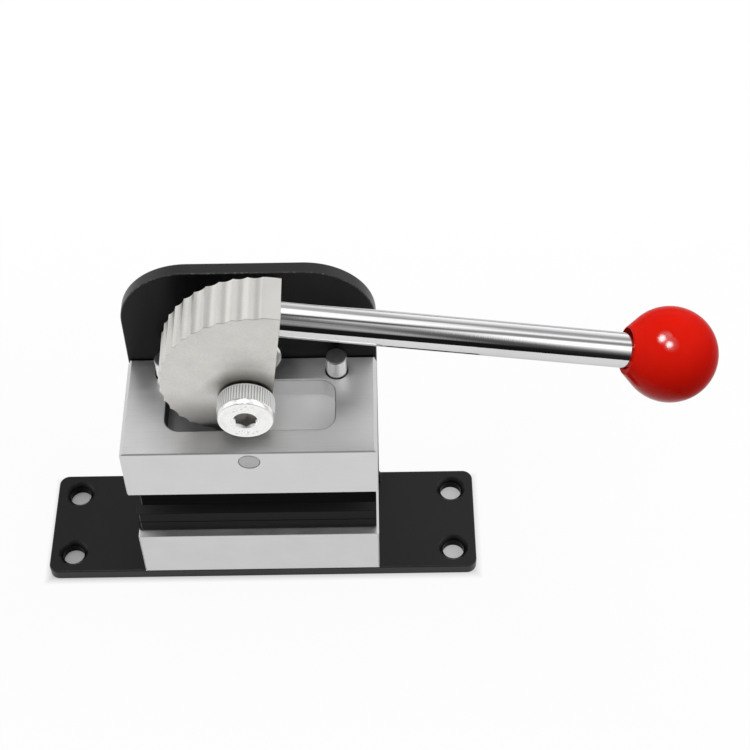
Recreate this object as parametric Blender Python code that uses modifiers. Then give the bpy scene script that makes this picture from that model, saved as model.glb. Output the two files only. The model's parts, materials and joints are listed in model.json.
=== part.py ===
"""Bench hand press: a fluted spiral cam on a lever pushes a guided block down onto a fixed one.

Metres, +Z up. The origin is the middle of the base plate's underside, the lever's knob lies
towards +X and the front of the press faces -Y. The press stands open: raising the lever closes it.
"""
import math

import bmesh
import bpy
from mathutils import Matrix, Vector

# Clearances
SEAT_GAP = 0.0003
PIN_CLEARANCE = 0.0003
RAM_BACK_GAP = 0.0003
CAM_CONTACT_GAP = 0.00015
CAM_SIDE_PLAY = 0.0010
SPRING_DIE_GAP = 0.0020

# Base plate and back flange, one steel bracket
BASE_WIDTH = 0.1320
BASE_DEPTH = 0.0360
PLATE_THICKNESS = 0.0040
BASE_CORNER_RADIUS = 0.0031
PLATE_EDGE = 0.0004
FOOT_HOLE_INSET = 0.0070
FOOT_HOLE_DIAMETER = 0.0066
FOOT_SINK_DIAMETER = 0.0092
FLANGE_TOP = 0.1044
FLANGE_BACK_STEP = 0.0001
FLANGE_CORNER_RADIUS = 0.0200
FLANGE_ROOT_FILLET = 0.0030
FLANGE_FLARE = 0.0003

# Fixed and sliding blocks
BLOCK_WIDTH = 0.0720
BLOCK_CHAMFER = 0.0007
LOWER_BLOCK_HEIGHT = 0.0186
UPPER_BLOCK_HEIGHT = 0.0199
UPPER_BLOCK_OVERHANG = 0.0022
POCKET_FROM_END = 0.0120
POCKET_WIDTH = 0.0177
POCKET_DEPTH = 0.0068
POCKET_CORNER_RADIUS = 0.0045

# Black pressing faces between the blocks
DIE_END_INSET = 0.0007
LOWER_DIE_LEFT_INSET = 0.0001
LOWER_DIE_CORNER = 0.0011
UPPER_DIE_LEFT_INSET = 0.0029
DIE_SETBACK = 0.0023
DIE_CHAMFER = 0.0003
LOWER_LAYER_HEIGHT = 0.0041
UPPER_DIE_HEIGHT = 0.0082
DIE_OPENING = 0.0077

# Guide pins with their return springs
PIN_FROM_END = 0.0115
PIN_DIAMETER = 0.0060
PIN_FROM_FLANGE = 0.0051
PIN_PROUD = 0.0065
PIN_TIP_CHAMFER = 0.0005
SPRING_WIRE = 0.0010
SPRING_TURNS = 9
SPRING_POINTS_PER_TURN = 9
SPRING_END_GAP = 0.0005

# Cross pin that the cam pushes on
FOLLOWER_DIAMETER = 0.0060
FOLLOWER_BELOW_TOP = 0.0042
FOLLOWER_BACK_WALL = 0.0035

# Spiral cam
CAM_FROM_FLANGE = 0.0172
CAM_THICKNESS = 0.0146
CAM_START_RADIUS = 0.0163
CAM_RISE_PER_RADIAN = 0.0062
CAM_SWELL = 0.0013
CAM_SWELL_START = math.radians(108)
CAM_SWELL_END = math.radians(206)
CAM_SWELL_SKEW = 1.6
CAM_FLAT_OFFSET = 0.0060
CAM_FLAT_LEAN = math.radians(2.5)
CAM_BOSS_RADIUS = 0.0115
CAM_LAND = 0.0050
FLUTE_PITCH = 0.0040
FLUTE_DEPTH = 0.0005
FLUTE_COUNT = 18
FLUTE_FACETS = 4

# Pivot screw, spacer, washer and nut
SHOULDER_DIAMETER = 0.0100
HEAD_DIAMETER = 0.0160
HEAD_HEIGHT = 0.0064
HEAD_CHAMFER = 0.0009
HEAD_SOCKET = 0.0060
HEAD_SOCKET_DEPTH = 0.0034
PIVOT_THREAD = 0.0080
SPACER_DIAMETER = 0.0185
WASHER_DIAMETER = 0.0160
WASHER_THICKNESS = 0.0016
NUT_ACROSS_FLATS = 0.0130
NUT_HEIGHT = 0.0065
THREAD_PAST_NUT = 0.0015

# Lever and knob
LEVER_DROOP = math.radians(9.25)
LEVER_HEIGHT = 0.0265
LEVER_DIAMETER = 0.0098
LEVER_EDGE = 0.0003
LEVER_STUD_DIAMETER = 0.0080
LEVER_STUD_LENGTH = 0.0120
KNOB_REACH = 0.1135
KNOB_DIAMETER = 0.0266
KNOB_COLLAR_DIAMETER = 0.0132
KNOB_COLLAR_REACH = 0.0122
KNOB_MOUTH_DIAMETER = 0.0122
KNOB_MOUTH_DEPTH = 0.0040
KNOB_THREAD = 0.0060
INSERT_LENGTH = 0.0110

# Hidden countersunk screws
BASE_SCREW_FROM_END = 0.0220
BASE_SCREW_DIAMETER = 0.0050
BASE_SCREW_HEAD = 0.0086
BASE_SCREW_LENGTH = 0.0140
DIE_SCREW_FROM_END = 0.0080
DIE_SCREW_DIAMETER = 0.0040
DIE_SCREW_HEAD = 0.0070
DIE_SCREW_LENGTH = 0.0140
SCREW_SOCKET_SHARE = 0.36
SCREW_SOCKET_DEPTH = 0.0013

# Facets around a full turn
FINE = 48
MEDIUM = 32
COARSE = 24
HIDDEN = 16

# Levels, from the base plate upwards
BASE_TOP = PLATE_THICKNESS
LOWER_BLOCK_BOTTOM = BASE_TOP + SEAT_GAP
LOWER_BLOCK_TOP = LOWER_BLOCK_BOTTOM + LOWER_BLOCK_HEIGHT
LOWER_PLATE_BOTTOM = LOWER_BLOCK_TOP + SEAT_GAP
LOWER_PLATE_TOP = LOWER_PLATE_BOTTOM + LOWER_LAYER_HEIGHT
LOWER_PAD_BOTTOM = LOWER_PLATE_TOP + SEAT_GAP
LOWER_PAD_TOP = LOWER_PAD_BOTTOM + LOWER_LAYER_HEIGHT
UPPER_DIE_BOTTOM = LOWER_PAD_TOP + DIE_OPENING
UPPER_DIE_TOP = UPPER_DIE_BOTTOM + UPPER_DIE_HEIGHT
UPPER_BLOCK_BOTTOM = UPPER_DIE_TOP + SEAT_GAP
UPPER_BLOCK_TOP = UPPER_BLOCK_BOTTOM + UPPER_BLOCK_HEIGHT
FOLLOWER_Z = UPPER_BLOCK_TOP - FOLLOWER_BELOW_TOP
PIVOT_Z = FOLLOWER_Z + CAM_START_RADIUS
PIN_TOP = UPPER_BLOCK_TOP + PIN_PROUD

# Depths, from the front of the base plate backwards
BASE_FRONT = -BASE_DEPTH / 2
FLANGE_BACK = BASE_DEPTH / 2 - FLANGE_BACK_STEP
FLANGE_FRONT = FLANGE_BACK - PLATE_THICKNESS
LOWER_BLOCK_BACK = FLANGE_FRONT - SEAT_GAP
UPPER_BLOCK_FRONT = BASE_FRONT - UPPER_BLOCK_OVERHANG
UPPER_BLOCK_BACK = FLANGE_FRONT - RAM_BACK_GAP
PIN_Y = FLANGE_FRONT - PIN_FROM_FLANGE
CAM_Y = FLANGE_FRONT - CAM_FROM_FLANGE
CAM_BACK = CAM_Y + CAM_THICKNESS / 2
HEAD_BACK = CAM_Y - CAM_THICKNESS / 2 - CAM_SIDE_PLAY

# Sizes that follow from a fit
POCKET_LENGTH = BLOCK_WIDTH - 2 * POCKET_FROM_END
PIN_SPACING = BLOCK_WIDTH - 2 * PIN_FROM_END
BASE_SCREW_SPACING = BLOCK_WIDTH - 2 * BASE_SCREW_FROM_END
DIE_SCREW_SPACING = BLOCK_WIDTH - 2 * DIE_SCREW_FROM_END
PIN_BORE = PIN_DIAMETER + 2 * PIN_CLEARANCE
SPRING_MEAN_DIAMETER = PIN_BORE + SPRING_WIRE
SPRING_OUTER_DIAMETER = SPRING_MEAN_DIAMETER + SPRING_WIRE
DIE_BACK = PIN_Y - SPRING_OUTER_DIAMETER / 2 - SPRING_DIE_GAP
LOWER_DIE_FRONT = BASE_FRONT + DIE_SETBACK
UPPER_DIE_FRONT = UPPER_BLOCK_FRONT + DIE_SETBACK
DIE_SCREW_Y = (LOWER_DIE_FRONT + DIE_BACK) / 2
CAM_BORE = SHOULDER_DIAMETER + 2 * PIN_CLEARANCE
KNOB_BORE = LEVER_DIAMETER + 2 * PIN_CLEARANCE
LEVER_START = CAM_FLAT_OFFSET + LEVER_DIAMETER / 2 * math.tan(CAM_FLAT_LEAN) + SEAT_GAP
KNOB_BORE_DEPTH = KNOB_MOUTH_DEPTH + INSERT_LENGTH + 2 * SEAT_GAP

# Sharp edges stay sharp above this angle
SMOOTH_ANGLE = math.radians(35)
WELD_DISTANCE = 0.00001


def clear_scene():
    for item in list(bpy.data.objects):
        bpy.data.objects.remove(item, do_unlink=True)


def new_collection(name):
    collection = bpy.data.collections.new(name)
    bpy.context.scene.collection.children.link(collection)
    return collection


def make_material(name, colour, roughness, metallic):
    material = bpy.data.materials.new(name)
    material.use_nodes = True
    shader = material.node_tree.nodes["Principled BSDF"]
    shader.inputs["Base Color"].default_value = (*colour, 1.0)
    shader.inputs["Roughness"].default_value = roughness
    shader.inputs["Metallic"].default_value = metallic
    return material


def add_object(name, data, parent=None, location=(0, 0, 0), rotation=(0, 0, 0)):
    item = bpy.data.objects.new(name, data)
    PARTS.objects.link(item)
    item.parent = parent
    item.location = location
    item.rotation_euler = rotation
    return item


def mesh_from(name, work):
    mesh = bpy.data.meshes.new(name)
    work.to_mesh(mesh)
    work.free()
    return mesh


def smooth(item):
    item.data.shade_smooth()
    item.data.set_sharp_from_angle(angle=SMOOTH_ANGLE)


def box(name, low, high, chamfer, sharp_side=(0, 0, 0)):
    """A block between two corners; all edges are chamfered but those around the sharp side."""
    low, high = Vector(low), Vector(high)
    work = bmesh.new()
    bmesh.ops.create_cube(work, size=1.0)
    bmesh.ops.scale(work, vec=high - low, verts=work.verts)
    bmesh.ops.translate(work, vec=(low + high) / 2, verts=work.verts)
    item = add_object(name, mesh_from(name, work))
    weights = item.data.attributes.new("bevel_weight_edge", "FLOAT", "EDGE")
    middle = (low + high) / 2
    for edge in item.data.edges:
        ends = [item.data.vertices[index].co - middle for index in edge.vertices]
        sharp = all(end.dot(Vector(sharp_side)) > 0 for end in ends)
        weights.data[edge.index].value = 0.0 if sharp else 1.0
    bevel = item.modifiers.new("chamfer", "BEVEL")
    bevel.width = chamfer
    bevel.segments = 1
    bevel.limit_method = "WEIGHT"
    return item


def rod(name, start, end, diameter, facets):
    """A round bar between two points."""
    start, end = Vector(start), Vector(end)
    along = end - start
    turn = along.to_track_quat("Z", "Y").to_matrix().to_4x4()
    work = bmesh.new()
    bmesh.ops.create_cone(
        work,
        cap_ends=True,
        segments=facets,
        radius1=diameter / 2,
        radius2=diameter / 2,
        depth=along.length,
        matrix=Matrix.Translation((start + end) / 2) @ turn,
    )
    item = add_object(name, mesh_from(name, work))
    smooth(item)
    return item


def turned(name, profile, facets, parent=None, location=(0, 0, 0), rotation=(0, 0, 0)):
    """A shape turned about its own Z axis; the profile of (radius, height) runs top to bottom."""
    work = bmesh.new()
    points = [work.verts.new((radius, 0, height)) for radius, height in profile]
    for first, second in zip(points, points[1:]):
        work.edges.new((first, second))
    item = add_object(name, mesh_from(name, work), parent, location, rotation)
    screw = item.modifiers.new("turn", "SCREW")
    screw.axis = "Z"
    screw.steps = facets
    screw.render_steps = facets
    screw.use_merge_vertices = True
    screw.merge_threshold = WELD_DISTANCE
    screw.use_smooth_shade = True
    return item


def slab(name, outline, thickness, parent=None, location=(0, 0, 0), rotation=(0, 0, 0)):
    """A flat plate with the given outline, half its thickness on each side of its plane."""
    curve = bpy.data.curves.new(name, "CURVE")
    curve.dimensions = "2D"
    curve.fill_mode = "BOTH"
    curve.extrude = thickness / 2
    spline = curve.splines.new("POLY")
    spline.points.add(len(outline) - 1)
    for point, (across, up) in zip(spline.points, outline):
        point.co = (across, up, 0, 1)
    spline.use_cyclic_u = True
    flat = add_object(name, curve, parent, location, rotation)
    graph = bpy.context.evaluated_depsgraph_get()
    mesh = bpy.data.meshes.new_from_object(flat.evaluated_get(graph))
    work = bmesh.new()
    work.from_mesh(mesh)
    bmesh.ops.remove_doubles(work, verts=work.verts, dist=WELD_DISTANCE)
    bmesh.ops.recalc_face_normals(work, faces=work.faces)
    work.to_mesh(mesh)
    work.free()
    solid = add_object(name + "_solid", mesh, parent)
    solid.matrix_local = flat.matrix_basis
    bpy.data.objects.remove(flat)
    bpy.data.curves.remove(curve)
    solid.name = name
    return solid


def arc(centre, radius, start_deg, end_deg, steps):
    """Points along a circle, both ends included."""
    points = []
    for step in range(steps + 1):
        angle = math.radians(start_deg + (end_deg - start_deg) * step / steps)
        points.append((centre[0] + radius * math.cos(angle), centre[1] + radius * math.sin(angle)))
    return points


def rounded_rectangle(low, high, radius, steps=6):
    (left, bottom), (right, top) = low, high
    points = arc((right - radius, top - radius), radius, 0, 90, steps)
    points += arc((left + radius, top - radius), radius, 90, 180, steps)
    points += arc((left + radius, bottom + radius), radius, 180, 270, steps)
    points += arc((right - radius, bottom + radius), radius, 270, 360, steps)
    return points


def as_cutter(item):
    PARTS.objects.unlink(item)
    CUTTERS.objects.link(item)
    item.hide_render = True
    item.display_type = "WIRE"
    return item


def combine(target, other, operation):
    step = target.modifiers.new(other.name, "BOOLEAN")
    step.operation = operation
    step.solver = "EXACT"
    step.object = as_cutter(other)


def drill(target, name, start, end, diameter, facets):
    combine(target, rod(name, start, end, diameter, facets), "DIFFERENCE")


def round_edges(item, width):
    bevel = item.modifiers.new("edges", "BEVEL")
    bevel.width = width
    bevel.segments = 2
    bevel.limit_method = "ANGLE"
    bevel.angle_limit = math.radians(50)


# Bracket

def make_bracket():
    half_width = BASE_WIDTH / 2
    half_depth = BASE_DEPTH / 2
    outline = rounded_rectangle((-half_width, -half_depth), (half_width, half_depth), BASE_CORNER_RADIUS)
    bracket = slab("base_bracket", outline, PLATE_THICKNESS, location=(0, 0, PLATE_THICKNESS / 2))
    round_edges(bracket, PLATE_EDGE)

    side = BLOCK_WIDTH / 2
    fillet = FLANGE_ROOT_FILLET
    corner = FLANGE_CORNER_RADIUS
    sunk = PLATE_EDGE
    root = side + FLANGE_FLARE + fillet
    profile = [(root, BASE_TOP / 2)]
    profile += arc((root, BASE_TOP + fillet - sunk), fillet, 270, 180, 4)
    profile += arc((side - corner, FLANGE_TOP - corner), corner, 0, 90, 12)
    profile += [(-across, up) for across, up in reversed(profile)]
    middle = (FLANGE_FRONT + FLANGE_BACK) / 2
    flange = slab("flange", profile, PLATE_THICKNESS, None, (0, middle, 0), (math.pi / 2, 0, 0))
    round_edges(flange, PLATE_EDGE)
    combine(bracket, flange, "UNION")

    past = 2 * PLATE_THICKNESS
    for x in (-half_width + FOOT_HOLE_INSET, half_width - FOOT_HOLE_INSET):
        for y in (-half_depth + FOOT_HOLE_INSET, half_depth - FOOT_HOLE_INSET):
            place = (x, y, BASE_TOP)
            sink_hole(bracket, place, -1, FOOT_HOLE_DIAMETER, FOOT_SINK_DIAMETER, past, COARSE)

    bore = PIVOT_THREAD + 2 * PIN_CLEARANCE
    front = (0, FLANGE_FRONT - past, PIVOT_Z)
    drill(bracket, "pivot_hole", front, (0, FLANGE_BACK + past, PIVOT_Z), bore, COARSE)
    head = seat(BASE_SCREW_HEAD)
    for x in base_screw_places():
        sink_hole(bracket, (x, LOWER_SCREW_Y, 0), 1, clear(BASE_SCREW_DIAMETER), head, past, HIDDEN)
    bracket.data.materials.append(BLACK_STEEL)
    return bracket


# Countersunk screws

LOWER_SCREW_Y = (BASE_FRONT + LOWER_BLOCK_BACK) / 2


def clear(diameter):
    return diameter + 2 * PIN_CLEARANCE


def base_screw_places():
    return (-BASE_SCREW_SPACING / 2, BASE_SCREW_SPACING / 2)


def die_screw_places():
    return (-DIE_SCREW_SPACING / 2, DIE_SCREW_SPACING / 2)


def seat(head):
    """Width of a countersink's mouth around a screw head that lies one seat gap below it."""
    return clear(head) + 2 * SEAT_GAP


def sink_hole(target, mouth, direction, hole, wide, reach, facets):
    """A countersunk hole in one cut; direction is +1 where its screw points up from the mouth."""
    past = hole / 2
    profile = [
        (0, past),
        (wide / 2 + past, past),
        (hole / 2, (hole - wide) / 2),
        (hole / 2, -reach),
        (0, -reach),
    ]
    turn = (math.pi, 0, 0) if direction > 0 else (0, 0, 0)
    combine(target, turned("screw_sink", profile, facets, None, mouth, turn), "DIFFERENCE")


def make_screw(name, mouth, direction, diameter, head, length, parent=None):
    """A countersunk socket screw whose head lies just inside the mouth of its hole."""
    cone = (head - diameter) / 2
    profile = [
        (0, length),
        (diameter / 2 - cone / 4, length),
        (diameter / 2, length - cone / 4),
        (diameter / 2, cone),
        (head / 2, 0),
        (0, 0),
    ]
    x, y, z = mouth
    place = (x, y, z + direction * SEAT_GAP)
    turn = (0, 0, 0) if direction > 0 else (math.pi, 0, 0)
    screw = turned(name, profile, HIDDEN, parent, place, turn)
    socket = rod(
        name + "_socket",
        (0, 0, -SCREW_SOCKET_DEPTH),
        (0, 0, SCREW_SOCKET_DEPTH),
        head * SCREW_SOCKET_SHARE,
        6,
    )
    socket.parent = parent
    socket.location = place
    combine(screw, socket, "DIFFERENCE")
    screw.data.materials.append(BLACK_SCREW)
    return screw


# Blocks and dies

def make_lower_block():
    half = BLOCK_WIDTH / 2
    low = (-half, BASE_FRONT, LOWER_BLOCK_BOTTOM)
    high = (half, LOWER_BLOCK_BACK, LOWER_BLOCK_TOP)
    block = box("lower_block", low, high, BLOCK_CHAMFER, sharp_side=(0, 0, -1))
    for x in pin_places():
        below = (x, PIN_Y, LOWER_BLOCK_BOTTOM - BASE_TOP)
        above = (x, PIN_Y, LOWER_BLOCK_TOP + BASE_TOP)
        drill(block, "pin_hole", below, above, PIN_BORE, COARSE)
    for x in base_screw_places():
        below = (x, LOWER_SCREW_Y, 0)
        above = (x, LOWER_SCREW_Y, BASE_SCREW_LENGTH + 2 * SEAT_GAP)
        drill(block, "base_screw_hole", below, above, clear(BASE_SCREW_DIAMETER), HIDDEN)
    for x in die_screw_places():
        top = (x, DIE_SCREW_Y, LOWER_PAD_TOP)
        bottom = (x, DIE_SCREW_Y, LOWER_PAD_TOP - DIE_SCREW_LENGTH - 2 * SEAT_GAP)
        drill(block, "die_screw_hole", bottom, top, clear(DIE_SCREW_DIAMETER), HIDDEN)
    block.data.materials.append(ALUMINIUM)


def cut_left_corner(layer, left, bottom, top):
    """Takes the upright edge off the left front corner of a lower layer."""
    width = LOWER_DIE_CORNER
    low = Vector((left - width, LOWER_DIE_FRONT - width))
    outline = [tuple(low), (low.x + 3 * width, low.y), (low.x, low.y + 3 * width)]
    prism = slab("corner", outline, 2 * (top - bottom), location=(0, 0, (bottom + top) / 2))
    combine(layer, prism, "DIFFERENCE")


def make_lower_die():
    left = LOWER_DIE_LEFT_INSET - BLOCK_WIDTH / 2
    right = BLOCK_WIDTH / 2 - DIE_END_INSET
    layers = (
        ("lower_die_plate", LOWER_PLATE_BOTTOM, LOWER_PLATE_TOP, BLACK_PLATE),
        ("lower_die_pad", LOWER_PAD_BOTTOM, LOWER_PAD_TOP, BLACK_PAD),
    )
    for name, bottom, top, material in layers:
        layer = box(name, (left, LOWER_DIE_FRONT, bottom), (right, DIE_BACK, top), DIE_CHAMFER)
        cut_left_corner(layer, left, bottom, top)
        reach = 2 * (LOWER_PAD_TOP - LOWER_PLATE_BOTTOM)
        for x in die_screw_places():
            mouth = (x, DIE_SCREW_Y, LOWER_PAD_TOP)
            sink_hole(layer, mouth, -1, clear(DIE_SCREW_DIAMETER), seat(DIE_SCREW_HEAD), reach, HIDDEN)
        layer.data.materials.append(material)


def make_upper_block(ram):
    """The sliding block: pocket for the cam, cross bore for the follower and two guide bores."""
    half = BLOCK_WIDTH / 2
    low = (-half, UPPER_BLOCK_FRONT, UPPER_BLOCK_BOTTOM)
    high = (half, UPPER_BLOCK_BACK, UPPER_BLOCK_TOP)
    block = box("upper_block", low, high, BLOCK_CHAMFER, sharp_side=(0, 1, 0))
    outline = rounded_rectangle(
        (-POCKET_LENGTH / 2, CAM_Y - POCKET_WIDTH / 2),
        (POCKET_LENGTH / 2, CAM_Y + POCKET_WIDTH / 2),
        POCKET_CORNER_RADIUS,
    )
    pocket = slab("pocket", outline, 2 * POCKET_DEPTH, location=(0, 0, UPPER_BLOCK_TOP))
    combine(block, pocket, "DIFFERENCE")
    front = (0, UPPER_BLOCK_FRONT - PIN_DIAMETER, FOLLOWER_Z)
    back = (0, UPPER_BLOCK_BACK - FOLLOWER_BACK_WALL, FOLLOWER_Z)
    drill(block, "follower_bore", front, back, clear(FOLLOWER_DIAMETER), COARSE)
    for x in pin_places():
        below = (x, PIN_Y, UPPER_BLOCK_BOTTOM - PIN_PROUD)
        drill(block, "guide_bore", below, (x, PIN_Y, PIN_TOP), PIN_BORE, COARSE)
    for x in die_screw_places():
        bottom = (x, DIE_SCREW_Y, UPPER_DIE_BOTTOM)
        top = (x, DIE_SCREW_Y, UPPER_DIE_BOTTOM + DIE_SCREW_LENGTH + 2 * SEAT_GAP)
        drill(block, "die_screw_hole", bottom, top, clear(DIE_SCREW_DIAMETER), HIDDEN)
    block.data.materials.append(ALUMINIUM)
    adopt(block, ram)


def make_upper_die(ram):
    low = (UPPER_DIE_LEFT_INSET - BLOCK_WIDTH / 2, UPPER_DIE_FRONT, UPPER_DIE_BOTTOM)
    high = (BLOCK_WIDTH / 2 - DIE_END_INSET, DIE_BACK, UPPER_DIE_TOP)
    die = box("upper_die", low, high, DIE_CHAMFER)
    reach = 2 * UPPER_DIE_HEIGHT
    for x in die_screw_places():
        mouth = (x, DIE_SCREW_Y, UPPER_DIE_BOTTOM)
        sink_hole(die, mouth, 1, clear(DIE_SCREW_DIAMETER), seat(DIE_SCREW_HEAD), reach, HIDDEN)
    die.data.materials.append(BLACK_PAD)
    adopt(die, ram)


def make_follower(ram):
    length = UPPER_BLOCK_BACK - FOLLOWER_BACK_WALL - SEAT_GAP - UPPER_BLOCK_FRONT
    radius = FOLLOWER_DIAMETER / 2
    profile = [(0, length), (radius, length), (radius, 0), (0, 0)]
    place = (0, UPPER_BLOCK_FRONT, FOLLOWER_Z)
    pin = turned("follower_pin", profile, COARSE, None, place, (-math.pi / 2, 0, 0))
    pin.data.materials.append(STEEL)
    adopt(pin, ram)


# Guide pins and return springs

def pin_places():
    return (-PIN_SPACING / 2, PIN_SPACING / 2)


def make_guide_pin(name, x):
    radius = PIN_DIAMETER / 2
    bottom = LOWER_BLOCK_BOTTOM
    profile = [
        (0, PIN_TOP),
        (radius - PIN_TIP_CHAMFER, PIN_TOP),
        (radius, PIN_TOP - PIN_TIP_CHAMFER),
        (radius, bottom + PIN_TIP_CHAMFER),
        (radius - PIN_TIP_CHAMFER, bottom),
        (0, bottom),
    ]
    pin = turned(name, profile, COARSE, None, (x, PIN_Y, 0))
    pin.data.materials.append(STEEL)


def spring_path():
    """Points along the coil, from its lower seat up, with a closer turn at each end."""
    radius = SPRING_MEAN_DIAMETER / 2
    low = LOWER_BLOCK_TOP + SEAT_GAP + SPRING_WIRE / 2
    high = UPPER_BLOCK_BOTTOM - SEAT_GAP - SPRING_WIRE / 2
    end_pitch = SPRING_WIRE + SPRING_END_GAP
    open_pitch = (high - low - 2 * end_pitch) / (SPRING_TURNS - 2)
    points = []
    for step in range(SPRING_TURNS * SPRING_POINTS_PER_TURN + 1):
        turn = step / SPRING_POINTS_PER_TURN
        height = low + end_pitch * min(turn, 1)
        height += open_pitch * min(max(turn - 1, 0), SPRING_TURNS - 2)
        height += end_pitch * max(turn - SPRING_TURNS + 1, 0)
        angle = 2 * math.pi * turn
        points.append(Vector((radius * math.cos(angle), radius * math.sin(angle), height)))
    return points


def least_self_gap(points, diameter, turn_points):
    """Least clear distance between points of a tube that lie at least half a turn apart."""
    gaps = []
    for index, point in enumerate(points):
        for other in points[index + turn_points // 2:]:
            gaps.append((point - other).length - diameter)
    return min(gaps)


def make_spring(name, x):
    points = spring_path()
    gap = least_self_gap(points, SPRING_WIRE, SPRING_POINTS_PER_TURN)
    print(f"{name}: least gap between its turns {gap * 1000:.2f} mm")
    curve = bpy.data.curves.new(name, "CURVE")
    curve.dimensions = "3D"
    curve.bevel_depth = SPRING_WIRE / 2
    curve.bevel_resolution = 1
    curve.use_fill_caps = True
    spline = curve.splines.new("POLY")
    spline.points.add(len(points) - 1)
    for target, point in zip(spline.points, points):
        target.co = (*point, 1)
    spring = add_object(name, curve, None, (x, PIN_Y, 0))
    spring.data.materials.append(STEEL)


# Spiral cam, drawn in the lever's own frame: pivot at zero, lever along +X, flat face upright

def swell(turn):
    """Extra radius past the stretch of rim that the follower meets."""
    share = (turn - CAM_SWELL_START) / (CAM_SWELL_END - CAM_SWELL_START)
    if share <= 0 or share >= 1:
        return 0.0
    return CAM_SWELL * math.sin(math.pi * share ** CAM_SWELL_SKEW)


def crest(turn):
    """A point of the rim that lies one follower radius inside a spiral of steady rise.

    The turn is counted clockwise from the follower's place at rest, as seen from the front.
    """
    reach = CAM_START_RADIUS + CAM_RISE_PER_RADIAN * turn
    angle = LEVER_DROOP - math.pi / 2 - turn
    outward = Vector((math.cos(angle), math.sin(angle)))
    onward = Vector((math.sin(angle), -math.cos(angle)))
    normal = (outward * reach - onward * CAM_RISE_PER_RADIAN).normalized()
    inset = FOLLOWER_DIAMETER / 2 + CAM_CONTACT_GAP
    return outward * (reach + swell(turn)) - normal * inset


def past_flat(point):
    """How far a point of the outline lies past the leaning flat."""
    return point.x - CAM_FLAT_OFFSET + (point.y - LEVER_HEIGHT) * math.tan(CAM_FLAT_LEAN)


def on_boss(angle):
    return Vector((math.cos(angle), math.sin(angle))) * CAM_BOSS_RADIUS


def solve(function, low, high, steps=60):
    """The place between low and high where a rising function crosses zero."""
    for _ in range(steps):
        middle = (low + high) / 2
        if function(middle) < 0:
            low = middle
        else:
            high = middle
    return (low + high) / 2


def step_back(turn, distance):
    """The earlier turn whose rim point lies the given distance away."""
    end = crest(turn)
    return solve(lambda back: distance - (crest(back) - end).length, turn - 1, turn)


def flute(first, second):
    """Points of the shallow hollow between two crests, the second crest left out."""
    across = second - first
    inward = Vector((across.y, -across.x)).normalized()
    if inward.dot(first) > 0:
        inward = -inward
    points = []
    for step in range(FLUTE_FACETS):
        share = step / FLUTE_FACETS
        points.append(first + across * share + inward * FLUTE_DEPTH * 4 * share * (1 - share))
    return points


def cam_outline():
    """Flat face, plain land, flutes along the rising rim and a round boss about the pivot."""
    corner = solve(lambda turn: past_flat(crest(turn)), math.radians(160), math.radians(240))
    turns = [step_back(corner, CAM_LAND)]
    for _ in range(FLUTE_COUNT):
        turns.append(step_back(turns[-1], FLUTE_PITCH))
    points = [crest(corner)]
    for first, second in zip(turns, turns[1:]):
        points += flute(crest(first), crest(second))
    last = turns[-1]
    boss_start = solve(lambda turn: crest(turn).length - CAM_BOSS_RADIUS, -1.0, last)
    plain_steps = 6
    for step in range(plain_steps):
        points.append(crest(last + (boss_start - last) * step / plain_steps))
    start = math.degrees(math.atan2(*reversed(crest(boss_start))))
    end = math.degrees(solve(lambda angle: past_flat(on_boss(angle)), -math.pi / 2, 0.0))
    points += [Vector(point) for point in arc((0, 0), CAM_BOSS_RADIUS, start, end, 6)]
    return points


def make_cam(pivot):
    cam = slab("cam", cam_outline(), CAM_THICKNESS, pivot, rotation=(math.pi / 2, 0, 0))
    wide = CAM_THICKNESS
    bore = rod("cam_bore", (0, -wide, 0), (0, wide, 0), CAM_BORE, MEDIUM)
    deep = (LEVER_START - LEVER_STUD_LENGTH - SEAT_GAP, 0, LEVER_HEIGHT)
    past = (CAM_FLAT_OFFSET + LEVER_DIAMETER, 0, LEVER_HEIGHT)
    stud = rod("stud_bore", deep, past, clear(LEVER_STUD_DIAMETER), COARSE)
    for cutter in (bore, stud):
        cutter.parent = pivot
        combine(cam, cutter, "DIFFERENCE")
    cam.data.materials.append(NICKEL)


# Lever and knob, along the lever's own +X

ALONG_LEVER = (0, math.pi / 2, 0)


def make_lever(pivot):
    """Plain bar with a threaded stud at each end, one for the cam and one for the knob."""
    mouth = KNOB_REACH - KNOB_COLLAR_REACH
    shoulder = mouth + KNOB_MOUTH_DEPTH
    start = LEVER_START
    tip = shoulder + INSERT_LENGTH
    profile = [
        (0, tip),
        (KNOB_THREAD / 2, tip),
        (KNOB_THREAD / 2, shoulder),
        (LEVER_DIAMETER / 2 - LEVER_EDGE, shoulder),
        (LEVER_DIAMETER / 2, shoulder - LEVER_EDGE),
        (LEVER_DIAMETER / 2, start + LEVER_EDGE),
        (LEVER_DIAMETER / 2 - LEVER_EDGE, start),
        (LEVER_STUD_DIAMETER / 2, start),
        (LEVER_STUD_DIAMETER / 2, start - LEVER_STUD_LENGTH),
        (0, start - LEVER_STUD_LENGTH),
    ]
    lever = turned("lever_rod", profile, FINE, pivot, (0, 0, LEVER_HEIGHT), ALONG_LEVER)
    lever.data.materials.append(CHROME)


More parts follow.
